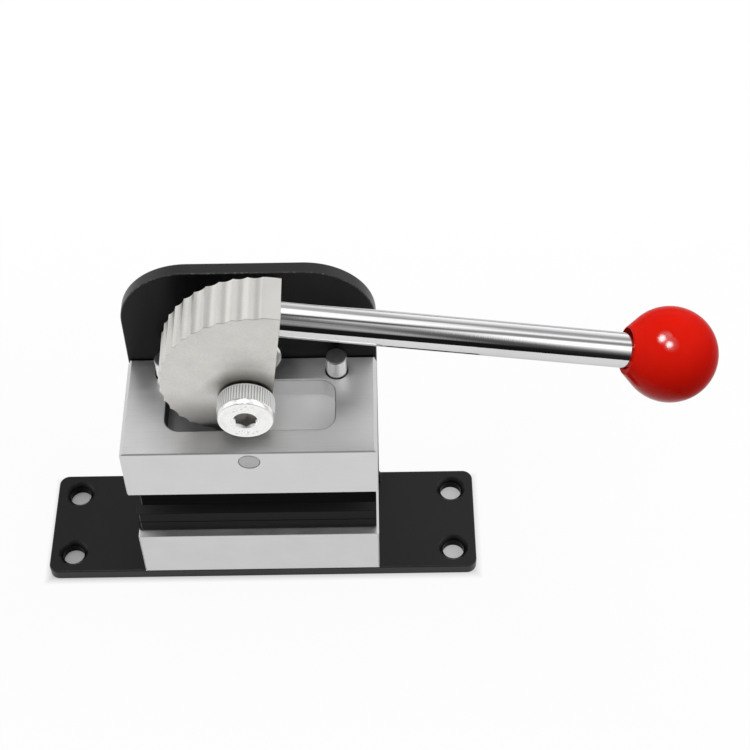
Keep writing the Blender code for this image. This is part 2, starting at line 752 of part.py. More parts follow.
def make_knob(pivot):
    """A ball with a tapered collar and a blind bore on the lever's side."""
    radius = KNOB_DIAMETER / 2
    collar = KNOB_COLLAR_DIAMETER / 2
    mouth = KNOB_MOUTH_DIAMETER / 2
    flat = -KNOB_COLLAR_REACH
    rim = math.hypot(collar, flat)
    last = math.degrees(math.atan2(flat, collar) + math.acos(min(1.0, radius / rim)))
    profile = [(0, radius)]
    profile += arc((0, 0), radius, 90, last, 14)[1:]
    profile += [
        (collar, flat),
        (mouth, flat),
        (KNOB_BORE / 2, flat + mouth - KNOB_BORE / 2),
        (KNOB_BORE / 2, flat + KNOB_BORE_DEPTH),
        (0, flat + KNOB_BORE_DEPTH),
    ]
    place = (KNOB_REACH, 0, LEVER_HEIGHT)
    knob = turned("ball_knob", profile, FINE, pivot, place, ALONG_LEVER)
    knob.data.materials.append(RED)

    outer = LEVER_DIAMETER / 2
    inner = clear(KNOB_THREAD) / 2
    low = flat + KNOB_MOUTH_DEPTH + SEAT_GAP
    high = low + INSERT_LENGTH
    profile = [(inner, high), (outer, high), (outer, low), (inner, low), (inner, high)]
    insert = turned("knob_insert", profile, COARSE, pivot, place, ALONG_LEVER)
    insert.data.materials.append(BRASS)


# Pivot screw and what it clamps, along +Y from its head

BACKWARDS = (-math.pi / 2, 0, 0)


def make_pivot_screw():
    head = HEAD_DIAMETER / 2
    shoulder = FLANGE_FRONT - SEAT_GAP - HEAD_BACK
    washer_back = FLANGE_BACK + SEAT_GAP + WASHER_THICKNESS
    end = washer_back + SEAT_GAP + NUT_HEIGHT + THREAD_PAST_NUT - HEAD_BACK
    profile = [
        (0, end),
        (PIVOT_THREAD / 2 - HEAD_CHAMFER, end),
        (PIVOT_THREAD / 2, end - HEAD_CHAMFER),
        (PIVOT_THREAD / 2, shoulder),
        (SHOULDER_DIAMETER / 2, shoulder),
        (SHOULDER_DIAMETER / 2, 0),
        (head, 0),
        (head, HEAD_CHAMFER - HEAD_HEIGHT),
        (head - HEAD_CHAMFER, -HEAD_HEIGHT),
        (0, -HEAD_HEIGHT),
    ]
    place = (0, HEAD_BACK, PIVOT_Z)
    screw = turned("pivot_screw", profile, FINE, None, place, BACKWARDS)
    front = HEAD_BACK - HEAD_HEIGHT
    corners = HEAD_SOCKET / math.cos(math.pi / 6)
    past = (0, front - HEAD_HEIGHT, PIVOT_Z)
    drill(screw, "hex_socket", past, (0, front + HEAD_SOCKET_DEPTH, PIVOT_Z), corners, 6)
    screw.data.materials.append(ZINC)


def ring(name, inner, outer, front, back, facets, material):
    """A turned ring on the pivot axis."""
    length = back - front
    profile = [(inner, length), (outer, length), (outer, 0), (inner, 0), (inner, length)]
    item = turned(name, profile, facets, None, (0, front, PIVOT_Z), BACKWARDS)
    item.data.materials.append(material)


def make_pivot_rings():
    spacer_front = CAM_BACK + SEAT_GAP
    spacer_back = FLANGE_FRONT - SEAT_GAP
    ring("pivot_spacer", CAM_BORE / 2, SPACER_DIAMETER / 2, spacer_front, spacer_back, MEDIUM, ZINC)
    front = FLANGE_BACK + SEAT_GAP
    back = front + WASHER_THICKNESS
    ring("pivot_washer", clear(PIVOT_THREAD) / 2, WASHER_DIAMETER / 2, front, back, COARSE, ZINC)

    start = (0, back + SEAT_GAP, PIVOT_Z)
    end = (0, back + SEAT_GAP + NUT_HEIGHT, PIVOT_Z)
    nut = rod("pivot_nut", start, end, NUT_ACROSS_FLATS / math.cos(math.pi / 6), 6)
    before = (0, FLANGE_FRONT, PIVOT_Z)
    drill(nut, "nut_bore", before, (0, end[1] + NUT_HEIGHT, PIVOT_Z), clear(PIVOT_THREAD), COARSE)
    nut.data.materials.append(ZINC)


# Assembly

def make_empty(name, location, rotation=(0, 0, 0)):
    empty = add_object(name, None, None, location, rotation)
    empty.empty_display_size = PIN_DIAMETER
    return empty


def adopt(item, parent):
    """Parent a placed piece, with its cutters, and leave it where it is."""
    pieces = [item] + [step.object for step in item.modifiers if step.type == "BOOLEAN"]
    for piece in pieces:
        piece.parent = parent
        piece.location = Vector(piece.location) - Vector(parent.location)


def build():
    ram = make_empty("ram_axis", (0, PIN_Y, UPPER_BLOCK_BOTTOM))
    pivot = make_empty("pivot_axis", (0, CAM_Y, PIVOT_Z), (0, LEVER_DROOP, 0))
    make_bracket()
    make_lower_block()
    make_lower_die()
    make_upper_block(ram)
    make_upper_die(ram)
    make_follower(ram)
    for side, x in zip(("left", "right"), pin_places()):
        make_guide_pin("guide_pin_" + side, x)
        make_spring("return_spring_" + side, x)
    make_cam(pivot)
    make_lever(pivot)
    make_knob(pivot)
    make_pivot_screw()
    make_pivot_rings()
    for side, x in zip(("left", "right"), base_screw_places()):
        size = (BASE_SCREW_DIAMETER, BASE_SCREW_HEAD, BASE_SCREW_LENGTH)
        make_screw("base_screw_" + side, (x, LOWER_SCREW_Y, 0), 1, *size)
    for side, x in zip(("left", "right"), die_screw_places()):
        size = (DIE_SCREW_DIAMETER, DIE_SCREW_HEAD, DIE_SCREW_LENGTH)
        make_screw("lower_die_screw_" + side, (x, DIE_SCREW_Y, LOWER_PAD_TOP), -1, *size)
        upper = make_screw("upper_die_screw_" + side, (x, DIE_SCREW_Y, UPPER_DIE_BOTTOM), 1, *size)
        adopt(upper, ram)


clear_scene()
PARTS = new_collection("bench_hand_press")
CUTTERS = new_collection("cutters")
BLACK_STEEL = make_material("black_steel", (0.022, 0.022, 0.024), 0.45, 0.2)
BLACK_PLATE = make_material("black_plate", (0.018, 0.018, 0.019), 0.40, 0.3)
BLACK_PAD = make_material("black_pad", (0.012, 0.012, 0.013), 0.60, 0.0)
BLACK_SCREW = make_material("black_screw", (0.03, 0.03, 0.032), 0.40, 0.8)
ALUMINIUM = make_material("aluminium", (0.66, 0.66, 0.67), 0.35, 1.0)
NICKEL = make_material("nickel", (0.62, 0.60, 0.57), 0.38, 1.0)
ZINC = make_material("zinc", (0.78, 0.78, 0.77), 0.22, 1.0)
STEEL = make_material("steel", (0.50, 0.50, 0.51), 0.30, 1.0)
CHROME = make_material("chrome", (0.85, 0.85, 0.86), 0.06, 1.0)
BRASS = make_material("brass", (0.70, 0.52, 0.22), 0.35, 1.0)
RED = make_material("red", (0.62, 0.010, 0.006), 0.15, 0.0)
build()
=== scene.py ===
"""Looks of the bench hand press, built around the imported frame. Metres, +Z up, front towards -Y."""

import json
import math

import bmesh
import bpy
from mathutils import Matrix, Vector

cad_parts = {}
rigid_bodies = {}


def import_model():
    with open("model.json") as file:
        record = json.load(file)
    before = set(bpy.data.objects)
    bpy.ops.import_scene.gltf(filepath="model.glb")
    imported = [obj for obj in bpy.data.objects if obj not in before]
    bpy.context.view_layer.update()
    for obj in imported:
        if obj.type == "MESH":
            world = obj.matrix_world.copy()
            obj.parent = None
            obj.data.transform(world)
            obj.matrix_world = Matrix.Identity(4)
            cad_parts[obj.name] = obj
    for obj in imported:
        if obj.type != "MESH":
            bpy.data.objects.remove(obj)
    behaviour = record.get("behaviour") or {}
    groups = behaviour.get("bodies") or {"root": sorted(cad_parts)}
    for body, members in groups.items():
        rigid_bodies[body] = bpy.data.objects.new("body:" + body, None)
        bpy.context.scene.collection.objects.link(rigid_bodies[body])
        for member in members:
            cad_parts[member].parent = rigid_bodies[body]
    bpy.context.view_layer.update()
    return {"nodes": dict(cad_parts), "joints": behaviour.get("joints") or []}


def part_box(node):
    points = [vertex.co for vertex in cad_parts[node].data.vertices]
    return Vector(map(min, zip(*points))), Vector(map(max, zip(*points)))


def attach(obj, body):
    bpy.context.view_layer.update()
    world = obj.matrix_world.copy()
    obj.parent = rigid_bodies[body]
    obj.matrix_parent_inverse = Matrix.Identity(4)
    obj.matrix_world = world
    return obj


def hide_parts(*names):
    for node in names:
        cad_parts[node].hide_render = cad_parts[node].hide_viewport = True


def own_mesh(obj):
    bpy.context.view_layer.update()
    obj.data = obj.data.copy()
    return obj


for item in list(bpy.data.objects):
    bpy.data.objects.remove(item, do_unlink=True)
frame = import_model()

MM = 0.001
UP = Vector((0, 0, 1))
BACK = Vector((0, 1, 0))

# Bracket
PLATE = 4.0 * MM
PLATE_CORNER = 3.1 * MM
PLATE_EDGE = 0.45 * MM
FOOT_INSET = 7.0 * MM
FOOT_HOLE = 6.6 * MM
FOOT_SINK = 9.2 * MM
FLANGE_FRONT = 13.9 * MM
FLANGE_CORNER = 20.0 * MM
FLANGE_FILLET = 2.0 * MM
FLANGE_FILLET_DROP = 0.4 * MM
FLANGE_FLARE = 0.3 * MM

# Blocks and black pressing faces
ANVIL_LIFT = 0.02 * MM
POCKET_LENGTH = 48.0 * MM
POCKET_WIDTH = 17.7 * MM
POCKET_DEPTH = 6.8 * MM
POCKET_CORNER = 4.5 * MM
POCKET_LIP = 0.35 * MM
DIE_EDGE = 0.08 * MM
DIE_CORNER = 1.1 * MM
SLIDE_EDGE = 0.25 * MM
SLIDE_CORNER = 0.4 * MM

# Pins, springs and hidden screws
PIN_BORE = 6.6 * MM
FOLLOWER_BORE = 6.16 * MM
SPRING_RADIUS = 3.8 * MM
SPRING_WIRE_RADIUS = 0.5 * MM
SPRING_TURNS = 9
SPRING_END_PITCH = 1.5 * MM
DIE_SCREW_HOLE = 4.6 * MM
DIE_SCREW_SINK = 8.2 * MM
DIE_HEAD_OVERHANG = 1.5 * MM
BASE_SCREW_HOLE = 5.6 * MM
BASE_SCREW_SINK = 9.8 * MM
BASE_HEAD_OVERHANG = 1.8 * MM
SCREW_HOLE_DEPTH = 14.6 * MM
SCREW_SOCKET_SHARE = 0.36
SCREW_SOCKET_DEPTH = 1.3 * MM

# Cam
PIVOT = Vector(next(j["pos_m"] for j in frame["joints"] if j["name"] == "lever_swing"))
CAM_THICKNESS = 14.6 * MM
CAM_START_RADIUS = 16.3 * MM
CAM_RISE_PER_RADIAN = 6.2 * MM
CAM_SWELL = 1.3 * MM
CAM_SWELL_START = math.radians(108)
CAM_SWELL_END = math.radians(206)
CAM_SWELL_SKEW = 1.6
CAM_FLAT_OFFSET = 6.0 * MM
CAM_FLAT_LEAN = math.radians(2.5)
CAM_BOSS_RADIUS = 11.5 * MM
CAM_LAND = 5.0 * MM
CAM_BORE = 10.6 * MM
CAM_EDGE = 0.12 * MM
FOLLOWER_REACH = 3.15 * MM
FLUTE_PITCH = 4.0 * MM
FLUTE_DEPTH = 0.5 * MM
FLUTE_COUNT = 18
FLUTE_FACETS = 12

# Lever and knob
LEVER_DROOP = math.radians(9.25)
LEVER_HEIGHT = 26.5 * MM
LEVER_DIAMETER = 9.8 * MM
LEVER_START = CAM_FLAT_OFFSET + 0.06 * MM
LEVER_STUD_RADIUS = 4.0 * MM
LEVER_STUD_LENGTH = 12.0 * MM
LEVER_HOLE = 8.6 * MM
LEVER_HOLE_DEPTH = 12.3 * MM
KNOB_REACH = 113.5 * MM
KNOB_DIAMETER = 26.6 * MM
KNOB_COLLAR_DIAMETER = 13.2 * MM
KNOB_COLLAR_REACH = 12.2 * MM
KNOB_MOUTH_RADIUS = 5.7 * MM
KNOB_MOUTH_DEPTH = 4.0 * MM
KNOB_MOUTH_SHIFT = Vector((-0.01, 0.84, -0.26)) * MM
KNOB_MOUTH_TILT = Vector((0.12, -0.656, 0.744)) * 0.085
KNOB_STUD_RADIUS = 3.0 * MM
INSERT_LENGTH = 11.0 * MM

# Pivot screw, its rings and its nut
HEAD_GAP = 0.5 * MM
HEAD_SOCKET = 5.5 * MM
HEAD_SOCKET_DEPTH = 3.4 * MM
HEAD_SOCKET_CONE = 0.65 * MM
HEAD_SOCKET_FLARE = 1.65 * MM
KNURL_START = 1.65 * MM
KNURL_BACK_INSET = 0.45 * MM
KNURL_RIDGES = 60
KNURL_DEPTH = 0.26 * MM
SHOULDER_RADIUS = 5.0 * MM
SHOULDER_GAP = 0.3 * MM
THREAD_RADIUS = 4.0 * MM
THREAD_PITCH = 1.25 * MM
THREAD_DEPTH = 0.55 * MM
THREAD_HOLE = 8.6 * MM
NUT_CHAMFER = 0.62 * MM

# Camera (fitted to the photograph), floor and lamps
CAMERA_PLACE = Vector((35.879, -292.090, 443.711)) * MM
CAMERA_YAW = -0.0013
CAMERA_PITCH = 0.8989
CAMERA_ROLL = 0.0159
FOCAL_PIXELS = 1671.876
IMAGE_PIXELS = 750
SENSOR = 36.0
FLOOR_FRONT = -0.265
FLOOR_BACK = 1.2
FLOOR_SIDE = 1.0
FLOOR_DROP = 0.1 * MM
LAMP_AIM = Vector((0.05, 0, 0.05))


def centre_of(node):
    """The middle of a CAD node's box."""
    low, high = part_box(node)
    return (low + high) / 2


PIN_X, PIN_Y = centre_of("guide_pin_right").xy
DIE_SCREW_X, DIE_SCREW_Y = centre_of("lower_die_screw_right").xy
BASE_SCREW_X, BASE_SCREW_Y = centre_of("base_screw_right").xy


# Materials

class Value:
    """What a node gives out. Numbers can be added, multiplied and faded, and tones coated."""

    def __init__(self, nodes, socket):
        self.nodes = nodes
        self.socket = socket

    def math(self, operation, other=None):
        return self.nodes.value("ShaderNodeMath", {0: self, 1: other}, operation=operation)

    def __add__(self, other):
        return self.math("ADD", other)

    def __sub__(self, other):
        return self.math("SUBTRACT", other)

    def __mul__(self, other):
        return self.math("MULTIPLY", other)

    def __abs__(self):
        return self.math("ABSOLUTE")

    def maximum(self, other):
        return self.math("MAXIMUM", other)

    def fade(self, low, high, to_low=0.0, to_high=1.0):
        """Goes from to_low to to_high while the value goes from low to high, and no further."""
        inputs = {0: self, 1: low, 2: high, 3: to_low, 4: to_high}
        return self.nodes.value("ShaderNodeMapRange", inputs)

    def dot(self, direction):
        inputs = {0: self, 1: direction}
        return self.nodes.value("ShaderNodeVectorMath", inputs, "Value", operation="DOT_PRODUCT")

    def coat(self, share, tone):
        """This tone, covered by another one to a share."""
        return self.nodes.mix(share, self, tone)


class Nodes:
    """A node tree whose nodes are added with their inputs filled in."""

    def __init__(self, tree):
        self.tree = tree

    def fill(self, socket, value):
        if isinstance(value, Value):
            self.tree.links.new(value.socket, socket)
        elif value is not None:
            socket.default_value = value

    def add(self, kind, inputs, **settings):
        node = self.tree.nodes.new(kind)
        for key, value in settings.items():
            setattr(node, key, value)
        for key, value in inputs.items():
            self.fill(node.inputs[key], value)
        return node

    def value(self, kind, inputs, output=0, **settings):
        return Value(self, self.add(kind, inputs, **settings).outputs[output])

    def axes(self, vector):
        """A vector's X, Y and Z."""
        node = self.add("ShaderNodeSeparateXYZ", {"Vector": vector})
        return [Value(self, socket) for socket in node.outputs]

    def mix(self, share, *tones):
        first, second = ((*tone, 1.0) if isinstance(tone, tuple) else tone for tone in tones)
        return self.value("ShaderNodeMix", {0: share, 6: first, 7: second}, 2, data_type="RGBA")

    def ray(self, kind):
        return self.value("ShaderNodeLightPath", {}, f"Is {kind} Ray")

    def shaders(self, share, first, second):
        return self.value("ShaderNodeMixShader", {0: share, 1: first, 2: second})


class Look(Nodes):
    """A Principled material whose colour, roughness and bump are filled in by nodes."""

    def __init__(self, name, metallic=0.0, **sockets):
        self.material = bpy.data.materials.new(name)
        self.material.use_nodes = True
        super().__init__(self.material.node_tree)
        self.shader = self.tree.nodes["Principled BSDF"]
        self.set(Metallic=metallic, **sockets)

    def set(self, **sockets):
        """Fills the shader's sockets; an underscore stands for a space in a socket's name."""
        for name, value in sockets.items():
            self.fill(self.shader.inputs[name.replace("_", " ")], value)

    def own(self, kind="Object"):
        """The piece's own coordinates, or its own normal."""
        return self.value("ShaderNodeTexCoord", {}, kind)

    def place(self):
        """The piece's own X, Y and Z in millimetres."""
        return [axis * (1 / MM) for axis in self.axes(self.own())]

    def world_normal(self):
        return self.value("ShaderNodeNewGeometry", {}, "Normal")

    def join(self, x, y, z):
        return self.value("ShaderNodeCombineXYZ", {"X": x, "Y": y, "Z": z})

    def length(self, x, y):
        inputs = {0: self.join(x, y, 0.0)}
        return self.value("ShaderNodeVectorMath", inputs, "Value", operation="LENGTH")

    def noise(self, scale, detail=3.0, stretch=(1, 1, 1), roughness=0.55, where=None):
        stretched = self.value("ShaderNodeMapping", {"Vector": where or self.own(), "Scale": stretch})
        inputs = {"Vector": stretched, "Scale": scale, "Detail": detail, "Roughness": roughness}
        return self.value("ShaderNodeTexNoise", inputs)

    def cells(self, scale):
        return self.value("ShaderNodeTexVoronoi", {"Vector": self.own(), "Scale": scale}, "Distance")

    def finish(self, tone, rough, *bumps, **sockets):
        """Fills in the looks; each bump is a height with its strength and depth, on top of the last."""
        normal = None
        for height, strength, depth in bumps:
            inputs = {"Height": height, "Strength": strength, "Distance": depth, "Normal": normal}
            normal = self.value("ShaderNodeBump", inputs)
        self.set(Base_Color=tone, Roughness=rough, Normal=normal, **sockets)
        return self.material


def brushed_aluminium(name, rough_low, rough_high, pocket=False):
    """Satin anodised metal with a faint grain along X, with painted light on its top faces."""
    look = Look(name, metallic=1.0)
    grain = look.noise(1.0, 4.0, (120, 4200, 4200), 0.65)
    cloud = look.noise(120.0)
    grit = look.noise(3000.0, 2.0)
    bands = grain.fade(0.28, 0.72)
    normal_x, _, normal_z = look.axes(look.own("Normal"))
    # Painted light: faces that look up get this lighter tone.
    painted_top_light = look.mix(bands, (0.772, 0.774, 0.778), (0.830, 0.830, 0.833))
    tone = look.mix(bands, (0.637, 0.639, 0.643), (0.672, 0.672, 0.675))
    tone = tone.coat(cloud.fade(0.35, 0.65, 0.0, 0.30), (0.635, 0.636, 0.639))
    tone = tone.coat(normal_z.fade(0.80, 0.95), painted_top_light)
    tone = tone.coat(grit.fade(0.62, 0.75, 0.0, 0.22), (0.47, 0.47, 0.48))
    rough = (grain + cloud).fade(0.6, 1.4, rough_low, rough_high)
    if pocket:
        tone, rough = milled_pocket(look, normal_x, tone, rough)
    return look.finish(tone, rough, (grain, 0.11, 0.04 * MM), (grit, 0.20, 0.03 * MM))


def milled_pocket(look, normal_x, tone, rough):
    """A duller pocket with painted light on its right part, painted shade at its left end below the cam,
    and painted shade with a dark reflection on the top face below the screw.
    """
    x, y, z = look.place()
    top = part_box("upper_block")[1].z / MM
    floor = top - POCKET_DEPTH / MM
    half_width = POCKET_WIDTH / 2 / MM
    half_length = POCKET_LENGTH / 2 / MM
    inside = abs(y - PIVOT.y / MM).fade(half_width + 1.0, half_width + 0.8)
    inside *= abs(x).fade(half_length + 1.0, half_length + 0.8)
    inside *= z.fade(top - 0.4, top - 0.6) * z.fade(floor - 0.4, floor - 0.2)
    painted_cam_pocket_shade = inside * x.fade(3, -8)
    smear_and_painted_shade = abs(x + 11).fade(11, 3, 0.0, 0.5) * y.fade(-11, -13) * z.fade(top - 0.2, top - 0.1)
    # Painted light: the pocket is paler from its middle to its right end.
    tone = tone.coat(inside * x.fade(-8, 3), (0.97, 0.97, 0.972))
    # Painted shade: darker at the pocket's left end below the cam, darkest on its left wall.
    tone = tone.coat(painted_cam_pocket_shade, (0.36, 0.36, 0.365))
    tone = tone.coat(painted_cam_pocket_shade * normal_x.fade(0.5, 0.8), (0.11, 0.11, 0.112))
    # Painted shade and a painted dark reflection on the top face below the screw.
    tone = tone.coat(smear_and_painted_shade, (0.33, 0.33, 0.333))
    right_back = x.fade(4, 22) * y.fade(-4, 6)
    return tone, rough + inside * 0.34 + right_back * 0.16


def black_steel():
    """Satin black coating with a fine tooth, lighter along its broken edges and chipped grey along the
    flange's rim, with painted light on the flange's upper faces and painted shade in the foot holes'
    countersinks.
    """
    look = Look("black_steel")
    tooth = look.noise(2400.0, 2.0)
    cloud = look.noise(70.0)
    chips = look.noise(1300.0, 4.0, roughness=0.75).fade(0.50, 0.66)
    x, y, z = look.place()
    _, normal_y, normal_z = look.axes(look.world_normal())
    facing = abs(normal_y)
    rim = facing.fade(0.12, 0.3) * facing.fade(0.97, 0.85)
    high_up = z.fade(70, 98)
    upright = facing.fade(0.90, 0.97) * z.fade(5, 7)
    hole = (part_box("base_bracket")[1] - Vector((FOOT_INSET, FOOT_INSET, 0))) / MM
    from_hole = look.length(abs(x) - hole.x, abs(y) - hole.y)
    sunk = from_hole.fade(4.7, 3.5) * normal_z.fade(0.95, 0.85)
    tone = look.mix(cloud.fade(0.3, 0.7), (0.0024, 0.0024, 0.0026), (0.0044, 0.0044, 0.0046))
    tone = tone.coat(rim * 0.45, (0.036, 0.036, 0.035))
    # Painted light: high on the flange, faces that don't look front or back are lighter.
    tone = tone.coat(facing.fade(0.5, 0.3) * high_up, (0.019, 0.019, 0.0185))
    # Painted shade: the foot holes' countersinks are darker, and also less glossy.
    tone = tone.coat(sunk, (0.0010, 0.0010, 0.0011))
    tone = tone.coat(rim * high_up * chips, (0.115, 0.112, 0.106))
    gloss = upright.fade(0.0, 1.0, 0.30, 0.20) * sunk.fade(0.0, 1.0, 1.0, 0.2)
    rough = tooth.fade(0.3, 0.7, 0.30, 0.40)
    return look.finish(tone, rough, (tooth, 0.24, 0.03 * MM), Specular_IOR_Level=gloss)


def black_die(name, low, high, roughness, gloss, front_edge):
    """Dark pressing face with faint streaks along its length and painted light on its top faces; its cut
    corner is lighter in specks at the front edge.
    """
    look = Look(name, Specular_IOR_Level=gloss)
    streak = look.noise(1.0, 4.0, (25, 1500, 1500), 0.7)
    tooth = look.noise(1800.0, 2.0)
    x, _, _ = look.place()
    edge = front_edge / MM
    normal_x, normal_y, normal_z = look.axes(look.own("Normal"))
    # The cut corner is lighter in specks near the front edge.
    light_specks = normal_x.fade(-0.5, -0.6) * normal_y.fade(-0.5, -0.6) * tooth.fade(0.35, 0.6)
    light_specks *= x.fade(edge - 0.40, edge - 0.34)
    tone = look.mix(streak.fade(0.35, 0.75), (low, low, low * 1.04), (high, high, high * 1.03))
    # Painted light: faces that look up are lighter.
    tone = tone.coat(normal_z.fade(0.8, 0.95), (0.032, 0.032, 0.032))
    tone = tone.coat(light_specks, (0.16, 0.16, 0.155))
    rough = streak.fade(0.3, 0.7, roughness - 0.08, roughness + 0.08)
    return look.finish(tone, rough, (streak, 0.12, 0.05 * MM), (tooth, 0.08, 0.02 * MM))


def satin_nickel():
    """Warm plated metal with fine pits and faint clouds, painted light on its rim, and painted shade above
    the screw head and low on its face.
    """
    look = Look("satin_nickel", metallic=1.0)
    cloud = look.noise(160.0, 4.0)
    grit = look.noise(2100.0, roughness=0.7)
    pits = look.cells(1100.0).fade(0.16, 0.08) * look.noise(420.0, 2.0).fade(0.52, 0.62)
    x, y, z = look.place()
    _, _, normal_z = look.axes(look.own("Normal"))
    # Painted light: the rim is lighter, less so towards its left end.
    rim = abs(normal_z).fade(0.5, 0.3) * x.fade(-20, -10, 0.0, 0.45)
    # Painted shade: darker just above the screw head and low on the face, in clouds.
    above = look.length(x, y).fade(13.6, 8.4) * y.fade(0, 6)
    below = y.fade(-3, -13) * x.fade(-17, -4, 0.0, 0.6)
    painted_cam_shade = above.maximum(below) * cloud.fade(0.3, 0.6, 0.8, 1.0) * z.fade(6.9, 7.1)
    tone = look.mix(cloud.fade(0.3, 0.7), (0.655, 0.642, 0.612), (0.735, 0.721, 0.690))
    tone = tone.coat(grit.fade(0.35, 0.7, 0.0, 0.30), (0.52, 0.505, 0.475))
    tone = tone.coat(pits * 0.55, (0.26, 0.245, 0.22))
    tone = tone.coat(rim, (0.86, 0.845, 0.81))
    tone = tone.coat(painted_cam_shade, (0.20, 0.188, 0.165))
    rough = grit.fade(0.3, 0.7, 0.31, 0.42)
    return look.finish(tone, rough, (grit, 0.16, 0.03 * MM), (pits, -0.3, 0.04 * MM))


def turned_metal(name, dark, light, rough_low, rough_high, crown=None, head=False):
    """Bright metal with fine rings about the piece's own Z axis; an end may have another tone."""
    look = Look(name, metallic=1.0)
    x, y, z = look.place()
    radius = look.length(x, y)
    ring = look.noise(2.6, roughness=0.6, where=look.join(radius, 0.0, z))
    cloud = look.noise(220.0)
    tone = look.mix(ring.fade(0.3, 0.7), dark, light)
    tone = tone.coat(cloud.fade(0.5, 0.75, 0.0, 0.35), tuple(channel * 0.8 for channel in dark))
    rough = (ring + cloud).fade(0.7, 1.3, rough_low, rough_high)
    if crown:
        _, _, normal_z = look.axes(look.own("Normal"))
        end = normal_z.fade(0.35, 0.50)
        tone = tone.coat(end, crown)
        rough += end * 0.25
    if head:
        tone, rough = screw_head(look, x, z, radius, tone, rough)
    return look.finish(tone, rough, (ring, 0.08, 0.03 * MM))


def screw_head(look, x, z, radius, tone, rough):
    """A darker socket, painted dark reflections in specks on the end face, a dull knurl with painted shade
    in its grooves and a duller cone before it.
    """
    grip = KNURL_START / MM - 0.05
    darker_socket = radius.fade(3.45, 3.35) * z.fade(0.45, 0.65)
    # Painted reflection: dark specks on the end face.
    painted_face_reflection = radius.fade(4.2, 4.6) * radius.fade(6.9, 6.4) * abs(x).fade(3.6, 2.6)
    painted_face_reflection *= z.fade(0.05, 0.02) * look.noise(1100.0).fade(0.56, 0.66, 0.0, 0.55)
    knurl = z.fade(grip, grip + 0.1) * radius.fade(6, 7)
    cone = z.fade(grip, 0.3) * radius.fade(7.3, 7.5)
    # Painted shade: the knurl's grooves are darker than its crests.
    ridges = look.mix(radius.fade(7.78, 7.93), (0.46, 0.46, 0.445), (0.99, 0.99, 0.98))
    tone = tone.coat(darker_socket, (0.42, 0.415, 0.40)).coat(painted_face_reflection, (0.30, 0.30, 0.29)).coat(knurl, ridges)
    look.set(Metallic=knurl.fade(0.0, 1.0, 1.0, 0.35))
    return tone, rough + knurl * 0.34 + cone * 0.12


def polished_chrome():
    """Bright plating with scratches along the bar, smears and a few dull spots."""
    look = Look("polished_chrome", metallic=1.0, Specular_Tint=(0.72, 0.72, 0.73, 1))
    scratch = look.noise(1.0, 4.0, (2400, 2400, 45), 0.65)
    smear_and_painted_shade = look.noise(60.0, 4.0, (1, 1, 0.35))
    spots = look.noise(900.0, 2.0).fade(0.60, 0.72)
    tone = look.mix(smear_and_painted_shade.fade(0.35, 0.7), (0.625, 0.625, 0.635), (0.71, 0.71, 0.71))
    tone = tone.coat(spots * 0.18, (0.42, 0.42, 0.43))
    rough = (smear_and_painted_shade + scratch).fade(0.7, 1.4, 0.025, 0.075)
    rings = look.noise(1.0, 3.0, (600, 600, 2200), 0.7)
    return look.finish(tone, rough, (scratch, 0.12, 0.03 * MM), (rings, 0.10, 0.03 * MM))


def red_gloss():
    """Moulded plastic: uneven colour, darker away from the light, and glossy in three places for painted
    highlights and a painted reflection.
    """
    look = Look("red_gloss", IOR=2.0)
    cloud = look.noise(90.0)
    grit = look.noise(1500.0, 2.0)
    normal = look.world_normal()
    shaded = normal.dot((-0.25, -0.30, 0.92)).fade(0.92, 0.25, 0.0, 0.85)
    tone = look.mix(cloud.fade(0.3, 0.7), (0.725, 0.0105, 0.0042), (0.815, 0.0135, 0.0056))
    tone = tone.coat(grit.fade(0.58, 0.72, 0.0, 0.15), (0.63, 0.0080, 0.0032))
    # Painted shade: darker where the surface faces away from the light.
    tone = tone.coat(shaded, (0.50, 0.0035, 0.0005))
    # Painted reflection: glossier low at the front left, where the floor shows in it.
    gloss = normal.dot((-0.45, -0.65, -0.60)).fade(0.62, 1.0, 0.004, 0.045)
    # Painted highlights: glossy spots just where the two lamps' highlights fall.
    for direction in ((-0.250, -0.320, 0.914), (-0.131, -0.462, 0.877)):
        gloss = gloss.maximum(normal.dot(direction).fade(0.985, 0.9955, 0.004, 0.60))
    rough = cloud.fade(0.3, 0.7, 0.15, 0.20)
    waves = look.noise(520.0, 2.0)
    return look.finish(tone, rough, (waves, 0.03, 0.05 * MM), Specular_IOR_Level=gloss)


ALUMINIUM = brushed_aluminium("fixed_aluminium", 0.41, 0.53)
SLIDING_ALUMINIUM = brushed_aluminium("sliding_aluminium", 0.30, 0.41, pocket=True)
BLACK_STEEL = black_steel()
ANVIL_FRONT_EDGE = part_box("lower_die_pad")[0].x + DIE_CORNER
SLIDE_FRONT_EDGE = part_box("upper_die")[0].x + SLIDE_CORNER
BLACK_PLATE = black_die("black_plate", 0.003, 0.014, 0.46, 0.09, ANVIL_FRONT_EDGE)
BLACK_PAD = black_die("black_pad", 0.003, 0.011, 0.50, 0.10, ANVIL_FRONT_EDGE)
BLACK_SLIDE = black_die("black_slide", 0.0008, 0.0032, 0.52, 0.015, SLIDE_FRONT_EDGE)
NICKEL = satin_nickel()
STEEL = turned_metal(
    "ground_steel", (0.78, 0.78, 0.785), (0.92, 0.92, 0.925), 0.07, 0.15, crown=(0.28, 0.28, 0.285)
)
PIN_STEEL = turned_metal("pin_steel", (0.37, 0.37, 0.375), (0.46, 0.46, 0.465), 0.22, 0.34)
ZINC = turned_metal("bright_zinc", (0.74, 0.74, 0.725), (0.88, 0.88, 0.865), 0.14, 0.26)
SOCKET_ZINC = turned_metal(
    "socket_zinc", (0.83, 0.83, 0.815), (0.96, 0.96, 0.945), 0.13, 0.25, head=True
)
